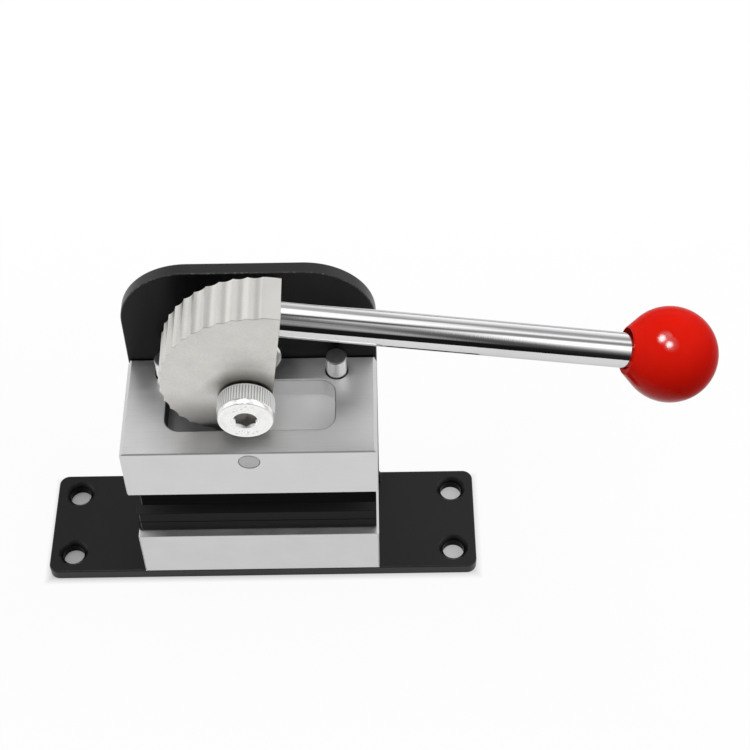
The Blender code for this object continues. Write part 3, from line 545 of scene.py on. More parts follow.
SPRING_STEEL = turned_metal("spring_steel", (0.28, 0.28, 0.285), (0.40, 0.40, 0.405), 0.28, 0.40)
BLACK_OXIDE = turned_metal("black_oxide", (0.030, 0.030, 0.032), (0.060, 0.060, 0.062), 0.30, 0.45)
BRASS = turned_metal("turned_brass", (0.58, 0.41, 0.16), (0.70, 0.52, 0.22), 0.24, 0.36)
CHROME = polished_chrome()
RED = red_gloss()


# Mesh helpers

def add_object(name, data, matrix):
    item = bpy.data.objects.new(name, data)
    bpy.context.scene.collection.objects.link(item)
    item.matrix_world = matrix
    return item


def add_piece(name, work, matrix=Matrix.Identity(4)):
    bmesh.ops.recalc_face_normals(work, faces=work.faces)
    mesh = bpy.data.meshes.new(name)
    work.to_mesh(mesh)
    work.free()
    return add_object(name, mesh, matrix)


def axis_matrix(origin, axis):
    """Own Z along the axis, own origin at the given point."""
    return Matrix.Translation(origin) @ Vector(axis).to_track_quat("Z", "Y").to_matrix().to_4x4()


def rounded(corners, steps=4):
    """A profile of (radius, height, cut): each corner is rounded over its cut length."""
    points = []
    for index, (radius, height, cut) in enumerate(corners):
        corner = Vector((radius, height))
        if not cut or index in (0, len(corners) - 1):
            points.append((radius, height))
            continue
        before = Vector(corners[index - 1][:2]) - corner
        after = Vector(corners[index + 1][:2]) - corner
        start = corner + before.normalized() * min(cut, before.length / 2)
        end = corner + after.normalized() * min(cut, after.length / 2)
        for step in range(steps + 1):
            share = step / steps
            bend = start * (1 - share) ** 2 + corner * 2 * share * (1 - share) + end * share ** 2
            points.append((bend.x, bend.y))
    return points


def saw(turn):
    """A wave from 0 to 1 and back over one turn."""
    share = turn % 1.0
    return 1 - abs(2 * share - 1)


def lathe(name, profile, origin, axis, segments=96, closed=False, relief=None):
    """Turns a profile of (radius, height) about an axis; relief(height, turn) is cut off the radius."""
    work = bmesh.new()
    rings = []
    for radius, height in profile:
        if radius < 1e-7:
            rings.append([work.verts.new((0, 0, height))])
            continue
        ring = []
        for step in range(segments):
            turn = step / segments
            reach = radius - (relief(height, turn) if relief else 0.0)
            angle = 2 * math.pi * turn
            ring.append(work.verts.new((reach * math.cos(angle), reach * math.sin(angle), height)))
        rings.append(ring)
    pairs = list(zip(rings, rings[1:]))
    if closed:
        pairs.append((rings[-1], rings[0]))
    for first, second in pairs:
        for step in range(segments):
            following = (step + 1) % segments
            places = ((first, step), (second, step), (second, following), (first, following))
            corners = dict.fromkeys(ring[index % len(ring)] for ring, index in places)
            work.faces.new(list(corners))
    return add_piece(name, work, axis_matrix(origin, axis))


def loft(name, loops):
    """A closed solid through matching loops of points."""
    work = bmesh.new()
    rings = [[work.verts.new(point) for point in loop] for loop in loops]
    for first, second in zip(rings, rings[1:]):
        for index in range(len(first)):
            following = (index + 1) % len(first)
            work.faces.new((first[index], first[following], second[following], second[index]))
    work.faces.new(rings[0])
    work.faces.new(rings[-1])
    return add_piece(name, work)


def slab(name, outline, thickness, matrix, edge, steps=3):
    """A plate with a rounded rim, half its thickness on each side of its own XY plane."""
    work = bmesh.new()
    face = work.faces.new([work.verts.new((x, y, -thickness / 2)) for x, y in outline])
    made = bmesh.ops.extrude_face_region(work, geom=[face])["geom"]
    lifted = [item for item in made if isinstance(item, bmesh.types.BMVert)]
    bmesh.ops.translate(work, vec=(0, 0, thickness), verts=lifted)
    rim = [item for item in work.edges if abs(item.verts[0].co.z - item.verts[1].co.z) < thickness / 2]
    bmesh.ops.bevel(
        work, geom=rim, offset=edge, segments=steps, profile=0.5, affect="EDGES", clamp_overlap=False
    )
    return add_piece(name, work, matrix)


def block(name, low, high, default, special):
    """A box whose edges are broken; special gives other widths by the edge's (x, y, z) signs."""
    low, high = Vector(low), Vector(high)
    middle = (low + high) / 2
    work = bmesh.new()
    bmesh.ops.create_cube(work, size=1.0)
    bmesh.ops.scale(work, vec=high - low, verts=work.verts)
    bmesh.ops.translate(work, vec=middle, verts=work.verts)
    piece = add_piece(name, work)
    widest = max([default, *special.values()])
    weights = piece.data.attributes.new("bevel_weight_edge", "FLOAT", "EDGE")
    for edge in piece.data.edges:
        first, second = (piece.data.vertices[index].co - middle for index in edge.vertices)
        signs = tuple(round(part / side) for part, side in zip(first + second, high - low))
        weights.data[edge.index].value = special.get(signs, default) / widest
    bevel = piece.modifiers.new("edges", "BEVEL")
    bevel.width = widest
    bevel.segments = 1
    bevel.limit_method = "WEIGHT"
    bake(piece)
    return piece


def bake(piece):
    """Replaces the mesh by what its modifiers make of it."""
    graph = bpy.context.evaluated_depsgraph_get()
    mesh = bpy.data.meshes.new_from_object(piece.evaluated_get(graph))
    piece.modifiers.clear()
    piece.data = mesh


def cut(piece, cutter, operation="DIFFERENCE"):
    step = piece.modifiers.new("cut", "BOOLEAN")
    step.operation = operation
    step.solver = "EXACT"
    step.object = cutter
    bake(piece)
    bpy.data.objects.remove(cutter)


def bore(piece, start, end, diameter, mouth=0.0, segments=64):
    """A round hole from its mouth at start to its end, with the mouth's edge broken."""
    start, end = Vector(start), Vector(end)
    past = diameter
    profile = [(0, -past), (diameter / 2 + mouth, -past), (diameter / 2 + mouth, 0)]
    if mouth:
        profile.append((diameter / 2, mouth))
    depth = (end - start).length
    profile += [(diameter / 2, depth), (0, depth)]
    cut(piece, lathe("cutter", profile, start, end - start, segments))


def sink(piece, mouth, axis, hole, wide, depth, segments=48):
    """A countersunk hole whose axis points out of its mouth."""
    profile = [
        (0, hole),
        (wide / 2 + hole, hole),
        (hole / 2, (hole - wide) / 2),
        (hole / 2, -depth),
        (0, -depth),
    ]
    cut(piece, lathe("cutter", profile, mouth, axis, segments))


def arc(centre, radius, start_deg, end_deg, steps):
    points = []
    for step in range(steps + 1):
        angle = math.radians(start_deg + (end_deg - start_deg) * step / steps)
        points.append((centre[0] + radius * math.cos(angle), centre[1] + radius * math.sin(angle)))
    return points


def rounded_rectangle(width, depth, radius, steps=12):
    points = []
    places = ((1, 1, 0), (-1, 1, 90), (-1, -1, 180), (1, -1, 270))
    for across, along, start in places:
        centre = (across * (width / 2 - radius), along * (depth / 2 - radius))
        points += arc(centre, radius, start, start + 90, steps)
    return points


def finish_piece(piece, material, body, slot, *nodes, angle=32):
    """Smooth shading with sharp edges kept, material, body and the CAD nodes it stands for."""
    piece.data.materials.clear()
    piece.data.materials.append(material)
    piece.data.shade_smooth()
    piece.data.set_sharp_from_angle(angle=math.radians(angle))
    weigh = piece.modifiers.new("normals", "WEIGHTED_NORMAL")
    weigh.keep_sharp = True
    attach(piece, body)
    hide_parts(*nodes)


# Bracket

def make_bracket():
    low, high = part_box("base_bracket")
    size = high - low
    outline = rounded_rectangle(size.x, size.y, PLATE_CORNER)
    plate = slab("bracket", outline, PLATE, Matrix.Translation((0, 0, PLATE / 2)), PLATE_EDGE)
    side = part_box("upper_block")[1].x
    root = side + FLANGE_FLARE + FLANGE_FILLET
    profile = [(root, PLATE / 2)]
    profile += arc((root, PLATE + FLANGE_FILLET - FLANGE_FILLET_DROP), FLANGE_FILLET, 270, 180, 8)
    profile += arc((side - FLANGE_CORNER, high.z - FLANGE_CORNER), FLANGE_CORNER, 0, 90, 28)
    profile += [(-across, up) for across, up in reversed(profile)]
    stand = Matrix.Translation((0, FLANGE_FRONT + PLATE / 2, 0)) @ Matrix.Rotation(math.pi / 2, 4, "X")
    cut(plate, slab("flange", profile, PLATE, stand, PLATE_EDGE), "UNION")
    for x in (low.x + FOOT_INSET, high.x - FOOT_INSET):
        for y in (low.y + FOOT_INSET, high.y - FOOT_INSET):
            sink(plate, (x, y, PLATE), UP, FOOT_HOLE, FOOT_SINK, 2 * PLATE)
    front = (0, FLANGE_FRONT - PLATE, PIVOT.z)
    bore(plate, front, (0, FLANGE_FRONT + 3 * PLATE, PIVOT.z), THREAD_HOLE)
    for x in (-BASE_SCREW_X, BASE_SCREW_X):
        sink(plate, (x, BASE_SCREW_Y, 0), -UP, BASE_SCREW_HOLE, BASE_SCREW_SINK, 2 * PLATE)
    finish_piece(plate, BLACK_STEEL, "frame", "black_steel", "base_bracket", angle=40)


# Blocks and pressing faces

def bore_pair(piece, x, y, start, end, diameter, mouth=0.0):
    """Two upright holes, left and right of the middle."""
    for place in (-x, x):
        bore(piece, (place, y, start), (place, y, end), diameter, mouth)


def make_lower_block():
    low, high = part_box("lower_block")
    low.z = PLATE + ANVIL_LIFT
    edge, right_edge, front_edge, foot_edge = 0.4 * MM, 0.7 * MM, 0.1 * MM, 0.08 * MM
    special = {(1, 0, 1): right_edge, (0, -1, 1): front_edge}
    for foot in ((0, -1, -1), (0, 1, -1), (1, 0, -1), (-1, 0, -1)):
        special[foot] = foot_edge
    piece = block("anvil_block", low, high, edge, special)
    bore_pair(piece, PIN_X, PIN_Y, high.z, low.z - PLATE, PIN_BORE, mouth=0.25 * MM)
    screw_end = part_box("lower_die_pad")[1].z - SCREW_HOLE_DEPTH
    bore_pair(piece, DIE_SCREW_X, DIE_SCREW_Y, high.z, screw_end, DIE_SCREW_HOLE)
    bore_pair(piece, BASE_SCREW_X, BASE_SCREW_Y, low.z, SCREW_HOLE_DEPTH, BASE_SCREW_HOLE)
    finish_piece(piece, ALUMINIUM, "frame", "aluminium", "lower_block")


def make_die(name, node, material, body, slot, axis, edge, corner):
    """A black layer whose left front corner is cut; its screws come in along the axis."""
    low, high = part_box(node)
    piece = block(name, low, high, edge, {(-1, -1, 0): corner})
    mouth_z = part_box("lower_die_pad")[1].z if axis.z > 0 else low.z
    past = 20 * MM
    for x in (-DIE_SCREW_X, DIE_SCREW_X):
        sink(piece, (x, DIE_SCREW_Y, mouth_z), axis, DIE_SCREW_HOLE, DIE_SCREW_SINK, past)
    finish_piece(piece, material, body, slot, node)


def make_dies():
    fixed = (UP, DIE_EDGE, DIE_CORNER)
    make_die("anvil_plate", "lower_die_plate", BLACK_PLATE, "frame", "black_plate", *fixed)
    make_die("anvil_pad", "lower_die_pad", BLACK_PAD, "frame", "black_pad", *fixed)
    make_die("slide_pad", "upper_die", BLACK_SLIDE, "ram", "black_pad", -UP, SLIDE_EDGE, SLIDE_CORNER)


def make_upper_block():
    low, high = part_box("upper_block")
    edge, back_edge, side_edge, side_top_edge = 0.35 * MM, 0.1 * MM, 0.7 * MM, 1.05 * MM
    special = {(0, 1, 1): back_edge, (0, 1, -1): back_edge}
    for side in (-1, 1):
        special.update({(side, 0, 1): side_top_edge, (side, 0, -1): side_edge, (side, 1, 0): side_edge})
    piece = block("slide_block", low, high, edge, special)
    levels = [(high.z - POCKET_DEPTH, 0.0)]
    for across, up in arc((0, 0), POCKET_LIP, 0, 90, 4):
        levels.append((high.z - POCKET_LIP + up, POCKET_LIP - across))
    levels.append((high.z + POCKET_DEPTH, POCKET_LIP))
    loops = []
    for level, flare in levels:
        length, width = POCKET_LENGTH + 2 * flare, POCKET_WIDTH + 2 * flare
        flat = rounded_rectangle(length, width, POCKET_CORNER + flare)
        loops.append([(x, y + PIVOT.y, level) for x, y in flat])
    cut(piece, loft("pocket", loops))
    pin_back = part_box("follower_pin")[1].y + 0.3 * MM
    pin_z = centre_of("follower_pin").z
    bore(piece, (0, low.y, pin_z), (0, pin_back, pin_z), FOLLOWER_BORE, mouth=0.06 * MM)
    bore_pair(piece, PIN_X, PIN_Y, high.z, low.z - PLATE, PIN_BORE, mouth=0.12 * MM)
    screw_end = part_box("upper_die")[0].z + SCREW_HOLE_DEPTH
    bore_pair(piece, DIE_SCREW_X, DIE_SCREW_Y, low.z, screw_end, DIE_SCREW_HOLE)
    finish_piece(piece, SLIDING_ALUMINIUM, "ram", "aluminium", "upper_block")


# Pins and springs

def make_pins():
    low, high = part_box("follower_pin")
    radius = (high.x - low.x) / 2
    length = high.y - low.y
    edge = 0.35 * MM
    corners = [(0, 0, 0), (radius, 0, edge), (radius, length, edge), (0, length, 0)]
    pin = lathe("cross_pin", rounded(corners), (0, low.y, centre_of("follower_pin").z), BACK, segments=64)
    finish_piece(pin, PIN_STEEL, "ram", "steel", "follower_pin")
    for side in ("left", "right"):
        node = "guide_pin_" + side
        low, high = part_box(node)
        radius = (high.x - low.x) / 2
        length = high.z - low.z
        corners = [
            (0, length, 0),
            (radius - 0.22 * MM, length, 0.05 * MM),
            (radius, length - 0.20 * MM, 0.05 * MM),
            (radius, 0.5 * MM, 0.2 * MM),
            (radius - 0.5 * MM, 0, 0.1 * MM),
            (0, 0, 0),
        ]
        place = (*centre_of(node).xy, low.z)
        post = lathe("post_" + side, rounded(corners), place, UP, segments=64)
        finish_piece(post, STEEL, "frame", "steel", node)


def coil(name, centre, bottom, top):
    """A spring from its lowest to its highest wire centre, with closer turns at its ends."""
    steps_per_turn = 28
    spokes = 12
    wire = SPRING_WIRE_RADIUS
    middle_turns = SPRING_TURNS - 2
    pitch = (top - bottom - 2 * SPRING_END_PITCH) / middle_turns
    rise = pitch / (2 * math.pi * SPRING_RADIUS)
    loops = []
    for step in range(SPRING_TURNS * steps_per_turn + 1):
        turn = step / steps_per_turn
        height = bottom + SPRING_END_PITCH * min(turn, 1) + pitch * min(max(turn - 1, 0), middle_turns)
        height += SPRING_END_PITCH * max(turn - SPRING_TURNS + 1, 0)
        angle = 2 * math.pi * turn
        out = Vector((math.cos(angle), math.sin(angle), 0))
        along = Vector((-math.sin(angle), math.cos(angle), rise)).normalized()
        over = out.cross(along)
        middle = centre + out * SPRING_RADIUS + UP * height
        loop = []
        for spoke in range(spokes):
            bend = 2 * math.pi * spoke / spokes
            loop.append(middle + (out * math.cos(bend) + over * math.sin(bend)) * wire)
        loops.append(loop)
    return loft(name, loops)


def make_springs():
    travel = next(j["range_m"][1] for j in frame["joints"] if j["name"] == "ram_slide")
    for side, x in (("left", -PIN_X), ("right", PIN_X)):
        node = "return_spring_" + side
        low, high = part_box(node)
        centre = Vector((x, PIN_Y, 0))
        spring = coil("coil_" + side, centre, low.z + SPRING_WIRE_RADIUS, high.z - SPRING_WIRE_RADIUS)
        finish_piece(spring, SPRING_STEEL, "frame", "steel", node)
        keep = 1 - travel / (high.z - low.z)
        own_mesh(spring)


# Cam, lever and knob, drawn in the lever's own frame

LEVER_FRAME = Matrix.Translation(PIVOT) @ Matrix.Rotation(LEVER_DROOP, 4, "Y")
ALONG_LEVER = LEVER_FRAME.to_3x3() @ Vector((1, 0, 0))


def swell(turn):
    """Extra radius past the stretch of rim that the follower meets."""
    share = (turn - CAM_SWELL_START) / (CAM_SWELL_END - CAM_SWELL_START)
    if share <= 0 or share >= 1:
        return 0.0
    return CAM_SWELL * math.sin(math.pi * share ** CAM_SWELL_SKEW)


def crest(turn):
    """A point of the rim that lies one follower radius inside a spiral of steady rise."""
    reach = CAM_START_RADIUS + CAM_RISE_PER_RADIAN * turn
    angle = LEVER_DROOP - math.pi / 2 - turn
    outward = Vector((math.cos(angle), math.sin(angle)))
    onward = Vector((math.sin(angle), -math.cos(angle)))
    normal = (outward * reach - onward * CAM_RISE_PER_RADIAN).normalized()
    return outward * (reach + swell(turn)) - normal * FOLLOWER_REACH


def past_flat(point):
    """How far a point of the outline lies past the leaning flat."""
    return point.x - CAM_FLAT_OFFSET + (point.y - LEVER_HEIGHT) * math.tan(CAM_FLAT_LEAN)


def on_boss(angle):
    return Vector((math.cos(angle), math.sin(angle))) * CAM_BOSS_RADIUS


def solve(function, low, high):
    """The place between low and high where a rising function crosses zero."""
    for _ in range(60):
        middle = (low + high) / 2
        if function(middle) < 0:
            low = middle
        else:
            high = middle
    return (low + high) / 2


def step_back(turn, distance):
    end = crest(turn)
    return solve(lambda back: distance - (crest(back) - end).length, turn - 1, turn)


def flute(first, second):
    """Points of the shallow hollow between two crests, the second crest left out."""
    across = second - first
    inward = Vector((across.y, -across.x)).normalized()
    if inward.dot(first) > 0:
        inward = -inward
    points = []
    for step in range(FLUTE_FACETS):
        share = step / FLUTE_FACETS
        points.append(first + across * share + inward * FLUTE_DEPTH * 4 * share * (1 - share))
    return points


def rim(start, end, steps):
    """Crest points from one turn towards another, the last one left out."""
    return [crest(start + (end - start) * step / steps) for step in range(steps)]


def cam_outline():
    corner = solve(lambda turn: past_flat(crest(turn)), math.radians(160), math.radians(240))
    turns = [step_back(corner, CAM_LAND)]
    for _ in range(FLUTE_COUNT):
        turns.append(step_back(turns[-1], FLUTE_PITCH))
    points = rim(corner, turns[0], 8)
    for first, second in zip(turns, turns[1:]):
        points += flute(crest(first), crest(second))
    boss_start = solve(lambda turn: crest(turn).length - CAM_BOSS_RADIUS, -1.0, turns[-1])
    points += rim(turns[-1], boss_start, 14)
    start = math.degrees(math.atan2(*reversed(crest(boss_start))))
    end = math.degrees(solve(lambda angle: past_flat(on_boss(angle)), -math.pi / 2, 0.0))
    points += [Vector(point) for point in arc((0, 0), CAM_BOSS_RADIUS, start, end, 16)]
    return points


def make_cam():
    stand = LEVER_FRAME @ Matrix.Rotation(math.pi / 2, 4, "X")
    cam = slab("spiral_cam", cam_outline(), CAM_THICKNESS, stand, CAM_EDGE, steps=1)
    for out in (-BACK, BACK):
        face = PIVOT + out * CAM_THICKNESS / 2
        bore(cam, face, PIVOT - out * CAM_THICKNESS, CAM_BORE, mouth=0.4 * MM)
    mouth = LEVER_FRAME @ Vector((CAM_FLAT_OFFSET, 0, LEVER_HEIGHT))
    bore(cam, mouth, mouth - ALONG_LEVER * LEVER_HOLE_DEPTH, LEVER_HOLE, mouth=0.3 * MM, segments=48)
    finish_piece(cam, NICKEL, "cam_lever", "nickel", "cam", angle=28)


def make_lever():
    """The bar with a stud at each end; its cam end is cut to the leaning flat."""
    start = LEVER_START
    shoulder = KNOB_REACH - KNOB_COLLAR_REACH + KNOB_MOUTH_DEPTH
    radius = LEVER_DIAMETER / 2
    corners = [
        (0, shoulder + INSERT_LENGTH, 0),
        (KNOB_STUD_RADIUS, shoulder + INSERT_LENGTH, 0.3 * MM),
        (KNOB_STUD_RADIUS, shoulder, 0),
        (radius, shoulder, 0.4 * MM),
        (radius, start, 0.2 * MM),
        (LEVER_STUD_RADIUS, start, 0),
        (LEVER_STUD_RADIUS, start - LEVER_STUD_LENGTH, 0.3 * MM),
        (0, start - LEVER_STUD_LENGTH, 0),
    ]
    origin = LEVER_FRAME @ Vector((0, 0, LEVER_HEIGHT))
    bar = lathe("lever_bar", rounded(corners), origin, ALONG_LEVER, segments=128)
    lever_place = LEVER_FRAME.inverted() @ bar.matrix_world
    for vertex in bar.data.vertices:
        if abs(vertex.co.z - start) < 0.3 * MM:
            above = (lever_place @ vertex.co).z - LEVER_HEIGHT
            vertex.co.z -= above * math.tan(CAM_FLAT_LEAN)
    finish_piece(bar, CHROME, "cam_lever", "chrome", "lever_rod")


def make_knob():
    """A ball with a short cone to its collar; the mouth in the collar sits skew and off the middle."""
    ball = KNOB_DIAMETER / 2
    collar = KNOB_COLLAR_DIAMETER / 2
    flat = -KNOB_COLLAR_REACH
    mouth = KNOB_MOUTH_RADIUS
    hole = LEVER_DIAMETER / 2 + 0.3 * MM
    hole_end = flat + KNOB_MOUTH_DEPTH + INSERT_LENGTH + 0.6 * MM
    last = math.degrees(math.atan2(flat, collar) + math.acos(ball / math.hypot(collar, flat)))
    profile = [(0, ball)] + arc((0, 0), ball, 90, last, 72)[1:]
    neck = Vector(profile[-1]).lerp((collar, flat), 0.93)
    profile += [
        tuple(neck),
        (collar - 0.10 * MM, flat + 0.05 * MM),
        (collar - 0.28 * MM, flat + 0.02 * MM),
        (mouth, flat + 0.06 * MM),
        (mouth - 0.08 * MM, flat + 0.25 * MM),
        (mouth - 0.10 * MM, flat + 2.60 * MM),
        (hole, flat + 2.70 * MM),
        (hole, hole_end),
        (0, hole_end),
    ]
    centre = LEVER_FRAME @ Vector((KNOB_REACH, 0, LEVER_HEIGHT))
    knob = lathe("red_ball", profile, centre, ALONG_LEVER, segments=144)
    own = knob.matrix_world.to_3x3().inverted()
    shift = own @ KNOB_MOUTH_SHIFT
    tilt = own @ KNOB_MOUTH_TILT
    for vertex in knob.data.vertices:
        if vertex.co.z < flat + 2.65 * MM and vertex.co.xy.length < collar + MM:
            lean = vertex.co.dot(tilt)
            if vertex.co.z > flat + 0.05 * MM and vertex.co.xy.length < mouth + 0.05 * MM:
                vertex.co += shift
            vertex.co.z += lean
    finish_piece(knob, RED, "cam_lever", "red_plastic", "ball_knob", angle=50)


# Pivot screw and what it clamps

def hexagon(flats):
    """Corners of a hexagon by its size across flats."""
    corner = flats / 2 / math.cos(math.pi / 6)
    angles = [step * math.pi / 3 for step in range(6)]
    return [(corner * math.sin(angle), corner * math.cos(angle)) for angle in angles]


def upright_prism(name, outline, front, back):
    """A prism along Y about the pivot's axis."""
    return loft(name, [[(x, y, PIVOT.z + z) for x, z in outline] for y in (front, back)])


def make_pivot_screw():
    """A knurled socket head with a cone to its end face, a plain shoulder and a thread."""
    low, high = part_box("pivot_screw")
    front = low.y
    radius = (high.x - low.x) / 2
    height = PIVOT.y - CAM_THICKNESS / 2 - HEAD_GAP - front
    knurl_end = height - KNURL_BACK_INSET
    flange = FLANGE_FRONT - front - SHOULDER_GAP
    thread_start = flange + 4.5 * MM
    end = high.y - front

    def relief(level, turn):
        if KNURL_START < level < knurl_end:
            return KNURL_DEPTH * saw(turn * KNURL_RIDGES)
        if level > thread_start:
            return THREAD_DEPTH * saw(level / THREAD_PITCH - turn)
        return 0.0

    cone = ((0.60, 0), (0.50, 0.04), (0.40, 0.14), (0.34, 0.26), (0.03, 1.5), (0.02, 1.6))
    profile = [(0, 0)] + [(radius - inset * MM, level * MM) for inset, level in cone]
    profile += [
        (radius, KNURL_START + 0.15 * MM),
        (radius, knurl_end - 0.15 * MM),
        (radius - 0.1 * MM, knurl_end + 0.05 * MM),
        (radius - 0.1 * MM, height - 0.15 * MM),
        (radius - 0.25 * MM, height),
        (SHOULDER_RADIUS, height),
        (SHOULDER_RADIUS, flange),
        (THREAD_RADIUS, flange),
    ]
    level = flange + 4.0 * MM
    while level < end - 0.5 * MM:
        profile.append((THREAD_RADIUS, level))
        level += THREAD_PITCH / 8
    profile += [(THREAD_RADIUS - 0.6 * MM, end), (0, end)]
    place = (0, front, PIVOT.z)
    screw = lathe("shoulder_screw", profile, place, BACK, KNURL_RIDGES * 4, relief=relief)
    cut(screw, upright_prism("hex", hexagon(HEAD_SOCKET), front - 3 * MM, front + HEAD_SOCKET_DEPTH))
    socket = HEAD_SOCKET / 2
    mouth = [(0, -MM), (socket + HEAD_SOCKET_FLARE, -MM), (socket, HEAD_SOCKET_CONE), (0, HEAD_SOCKET_CONE)]
    cut(screw, lathe("mouth", mouth, place, BACK))
    finish_piece(screw, SOCKET_ZINC, "frame", "zinc", "pivot_screw", angle=38)


def make_ring(name, node, inner, outer, edge):
    low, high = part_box(node)
    length = high.y - low.y
    corners = [(inner, 0), (inner, length)]
    corners += [(outer - edge, length), (outer, length - edge), (outer, edge), (outer - edge, 0)]
    piece = lathe(name, corners, (0, low.y, PIVOT.z), BACK, closed=True)
    finish_piece(piece, ZINC, "frame", "zinc", node)


def make_nut():
    """A hexagon nut whose ends are turned down to a little less than its flats."""
    low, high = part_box("pivot_nut")
    length = high.y - low.y
    flats = high.x - low.x
    nut = upright_prism("back_nut", hexagon(flats), low.y, high.y)
    face = 0.96 * flats / 2
    wide = face + 1.8 * NUT_CHAMFER
    past = 0.01 * MM
    barrel = [(0, -past), (face, -past), (wide, NUT_CHAMFER), (wide, length - NUT_CHAMFER)]
    barrel += [(face, length + past), (0, length + past)]
    cut(nut, lathe("barrel", barrel, (0, low.y, PIVOT.z), BACK), "INTERSECT")
    bore(nut, (0, high.y, PIVOT.z), (0, low.y - PLATE, PIVOT.z), THREAD_HOLE, mouth=0.3 * MM, segments=48)
    finish_piece(nut, ZINC, "frame", "zinc", "pivot_nut", angle=25)


# Countersunk screws

def make_screw(name, node, body, overhang, axis):
    """A countersunk socket screw; its axis points out of its head, which overhangs the shank."""
    low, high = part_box(node)
    radius = (high.x - low.x) / 2
    length = high.z - low.z
    shank = radius - overhang
    corners = [
        (0, 0, 0),
        (radius - 0.12 * MM, 0, 0.05 * MM),
        (radius, 0.18 * MM, 0.08 * MM),
        (shank, overhang + 0.1 * MM, 0.2 * MM),
        (shank, length - 0.4 * MM, 0.1 * MM),
        (shank - 0.4 * MM, length, 0),
        (0, length, 0),
    ]
    head = high.z if axis.z > 0 else low.z
    place = Vector((*centre_of(node).xy, head))
    screw = lathe(name, rounded(corners), place, -axis, segments=64)
    loops = []
    for up in (1.0 * MM, -SCREW_SOCKET_DEPTH):
        outline = hexagon(2 * radius * SCREW_SOCKET_SHARE)
        loops.append([(place.x + x, place.y + y, head + axis.z * up) for y, x in outline])
    cut(screw, loft("hex", loops))
    finish_piece(screw, BLACK_OXIDE, body, "black_screw", node)


def make_screws():
    for side in ("left", "right"):
        make_screw("foot_screw_" + side, "base_screw_" + side, "frame", BASE_HEAD_OVERHANG, -UP)
        make_screw("anvil_screw_" + side, "lower_die_screw_" + side, "frame", DIE_HEAD_OVERHANG, UP)
        make_screw("slide_screw_" + side, "upper_die_screw_" + side, "ram", DIE_HEAD_OVERHANG, -UP)


# Stage

def make_camera():
    data = bpy.data.cameras.new("camera")
    data.sensor_width = SENSOR
    data.lens = SENSOR * FOCAL_PIXELS / IMAGE_PIXELS
    data.clip_start = 0.01
    turn = Matrix.Rotation(-CAMERA_YAW, 4, "Z") @ Matrix.Rotation(math.pi / 2 - CAMERA_PITCH, 4, "X")
    turn = turn @ Matrix.Rotation(-CAMERA_ROLL, 4, "Z")
    bpy.context.scene.camera = add_object("camera", data, Matrix.Translation(CAMERA_PLACE) @ turn)


def make_floor():
    """A pale floor that shows white to the camera and in reflections, and keeps a soft shadow; below the
    base plate it shows less white, a painted shade that darkens to the left.
    """
    look = Look("floor", Roughness=0.9, Specular_IOR_Level=0.1)
    look.set(Base_Color=look.mix(look.noise(40.0, 2.0), (0.50, 0.50, 0.50), (0.54, 0.54, 0.54)))
    seen = look.ray("Camera").maximum(look.ray("Glossy")).maximum(look.ray("Transmission"))
    x, y, _ = look.place()
    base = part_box("base_bracket")[1] / MM
    away = (abs(x) - base.x).maximum(abs(y) - base.y)
    # Painted shade: below the plate less white shows, the less the further left.
    under = x.fade(-60, 60, 0.06, 0.30)
    share = seen * (away.fade(-2, 2, under, 0.95) + away.fade(0, 120, 0.0, 0.05))
    pale = Value(look, look.shader.outputs[0])
    white = look.value("ShaderNodeEmission", {"Color": (1, 1, 1, 1)})
    look.fill(look.tree.nodes["Material Output"].inputs["Surface"], look.shaders(share, pale, white))
    work = bmesh.new()
    side = FLOOR_SIDE
    corners = ((-side, FLOOR_FRONT), (side, FLOOR_FRONT), (side, FLOOR_BACK), (-side, FLOOR_BACK))
    work.faces.new([work.verts.new((x, y, 0)) for x, y in corners])
    floor = add_piece("floor", work, Matrix.Translation((0, 0, -FLOOR_DROP)))
    floor.data.materials.append(look.material)


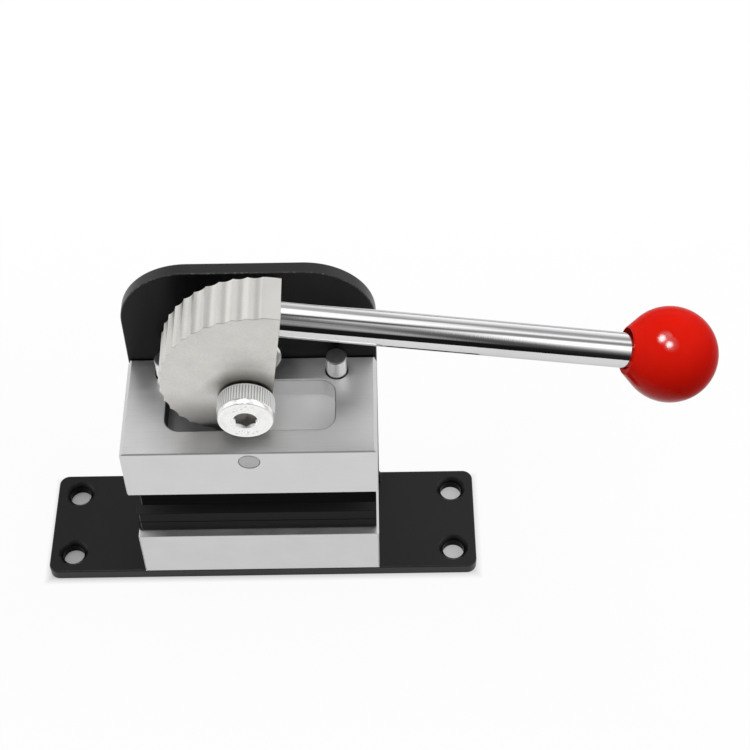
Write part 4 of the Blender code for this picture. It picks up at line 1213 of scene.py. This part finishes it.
def make_world():
    """A soft studio: bright overhead and behind, grey in front and dark at the front horizon.

    Each ramp gives brightness by height in degrees, from the front horizon over the top to the back
    one, and the ramps take turns from left to right.
    """
    world = bpy.data.worlds.new("studio")
    world.use_nodes = True
    bpy.context.scene.world = world
    nodes = Nodes(world.node_tree)
    nodes.tree.nodes.clear()
    across, deep, up = nodes.axes(nodes.value("ShaderNodeTexCoord", {}, "Generated"))
    height = up.math("ARCTAN2", deep * -1.0).math("DIVIDE", math.pi)

    def ramp(*stops):
        node = nodes.add("ShaderNodeValToRGB", {"Fac": height})
        elements = node.color_ramp.elements
        elements.remove(elements[-1])
        for index, (angle, value) in enumerate(stops):
            element = elements.new(angle / 180) if index else elements[0]
            element.color = (value, value, value, 1)
        return Value(nodes, node.outputs[0])

    front = (
        (0, 0.012), (11, 0.018), (16, 0.20), (23, 0.27), (27, 0.30), (29, 0.42), (32, 0.30), (41, 0.33),
        (46, 0.29), (48, 0.08), (53, 0.08), (57, 0.18), (69, 0.17), (81, 0.20),
    )
    back = ((129, 0.30), (134, 0.34), (138, 0.62), (149, 0.68), (160, 0.94), (168, 1.08), (180, 1.12))
    left = ramp(*front, (86, 0.25), (91, 0.42), (124, 0.42), *back)
    middle = ramp(*front, (86, 0.30), (91, 1.15), (96, 1.62), (120, 1.60), (125, 1.35), *back)
    near_rod = ramp(
        (0, 0.01), (11, 0.013), (15, 0.32), (23, 0.56), (27, 0.50), (29, 0.56), (32, 0.42), (46, 0.37),
        (49, 0.14), (56, 0.20), (70, 0.11), (84, 0.13), (86, 0.55), (90, 1.35), (96, 1.75), (122, 1.70),
        (127, 0.70), (136, 0.62), (146, 0.58), (152, 0.80), (158, 1.2), (166, 1.45), (180, 1.4),
    )
    mid_rod = ramp(
        (0, 0.02), (11, 0.027), (16, 0.07), (23, 0.10), (34, 0.11), (46, 0.17), (56, 0.38), (62, 0.52),
        (68, 0.80), (71, 0.72), (75, 0.22), (84, 0.09), (86, 0.50), (90, 1.15), (97, 1.60), (119, 1.40),
        (125, 0.55), (134, 0.42), (143, 0.80), (149, 0.95), (156, 1.25), (164, 1.5), (180, 1.45),
    )
    far_rod = ramp(
        (0, 0.07), (11, 0.13), (17, 0.19), (23, 0.26), (34, 0.58), (42, 0.98), (48, 1.40), (54, 1.80),
        (60, 1.85), (69, 1.75), (74, 1.05), (79, 0.45), (85, 0.36), (92, 0.40), (97, 0.95), (105, 1.50),
        (110, 1.25), (117, 0.66), (126, 0.50), (134, 0.48), (141, 0.80), (149, 1.05), (156, 1.35),
        (164, 1.55), (180, 1.5),
    )
    sides = ramp((0, 0.60), (40, 0.80), (55, 1.35), (115, 1.35), (150, 1.15), (180, 0.80))
    mixed = left
    for following, start, end in (
        (middle, -0.22, 0.06),
        (near_rod, 0.12, 0.18),
        (mid_rod, 0.205, 0.250),
        (far_rod, 0.292, 0.355),
        (sides, 0.44, 0.60),
        (sides, -0.48, -0.70),
    ):
        mixed = mixed.coat(across.fade(start, end), following)
    studio = nodes.value("ShaderNodeBackground", {"Color": mixed})
    white = nodes.value("ShaderNodeBackground", {"Color": (1, 1, 1, 1)})
    surface = nodes.shaders(nodes.ray("Camera"), studio, white)
    output = nodes.add("ShaderNodeOutputWorld", {"Surface": surface})
    output.is_active_output = True


def make_lamp(name, direction, distance, size, power):
    data = bpy.data.lights.new(name, "AREA")
    data.shape = "DISK"
    data.size = size
    data.energy = power
    toward = Vector(direction).normalized()
    add_object(name, data, axis_matrix(LAMP_AIM + toward * distance, toward))


make_bracket()
make_lower_block()
make_dies()
make_upper_block()
make_pins()
make_springs()
make_cam()
make_lever()
make_knob()
make_pivot_screw()
make_ring("distance_ring", "pivot_spacer", inner=5.3 * MM, outer=9.25 * MM, edge=0.5 * MM)
make_ring("back_washer", "pivot_washer", inner=4.3 * MM, outer=8.0 * MM, edge=0.3 * MM)
make_nut()
make_screws()
insert = frame["nodes"]["knob_insert"]
insert.data.materials.clear()
insert.data.materials.append(BRASS)

make_camera()
make_floor()
make_world()
make_lamp("overhead_left", (-0.316, 0.027, 0.954), distance=0.9, size=0.24, power=1.0)
make_lamp("overhead_front", (-0.078, -0.273, 0.958), distance=0.9, size=0.20, power=0.85)
bpy.context.scene.view_settings.view_transform = "Standard"
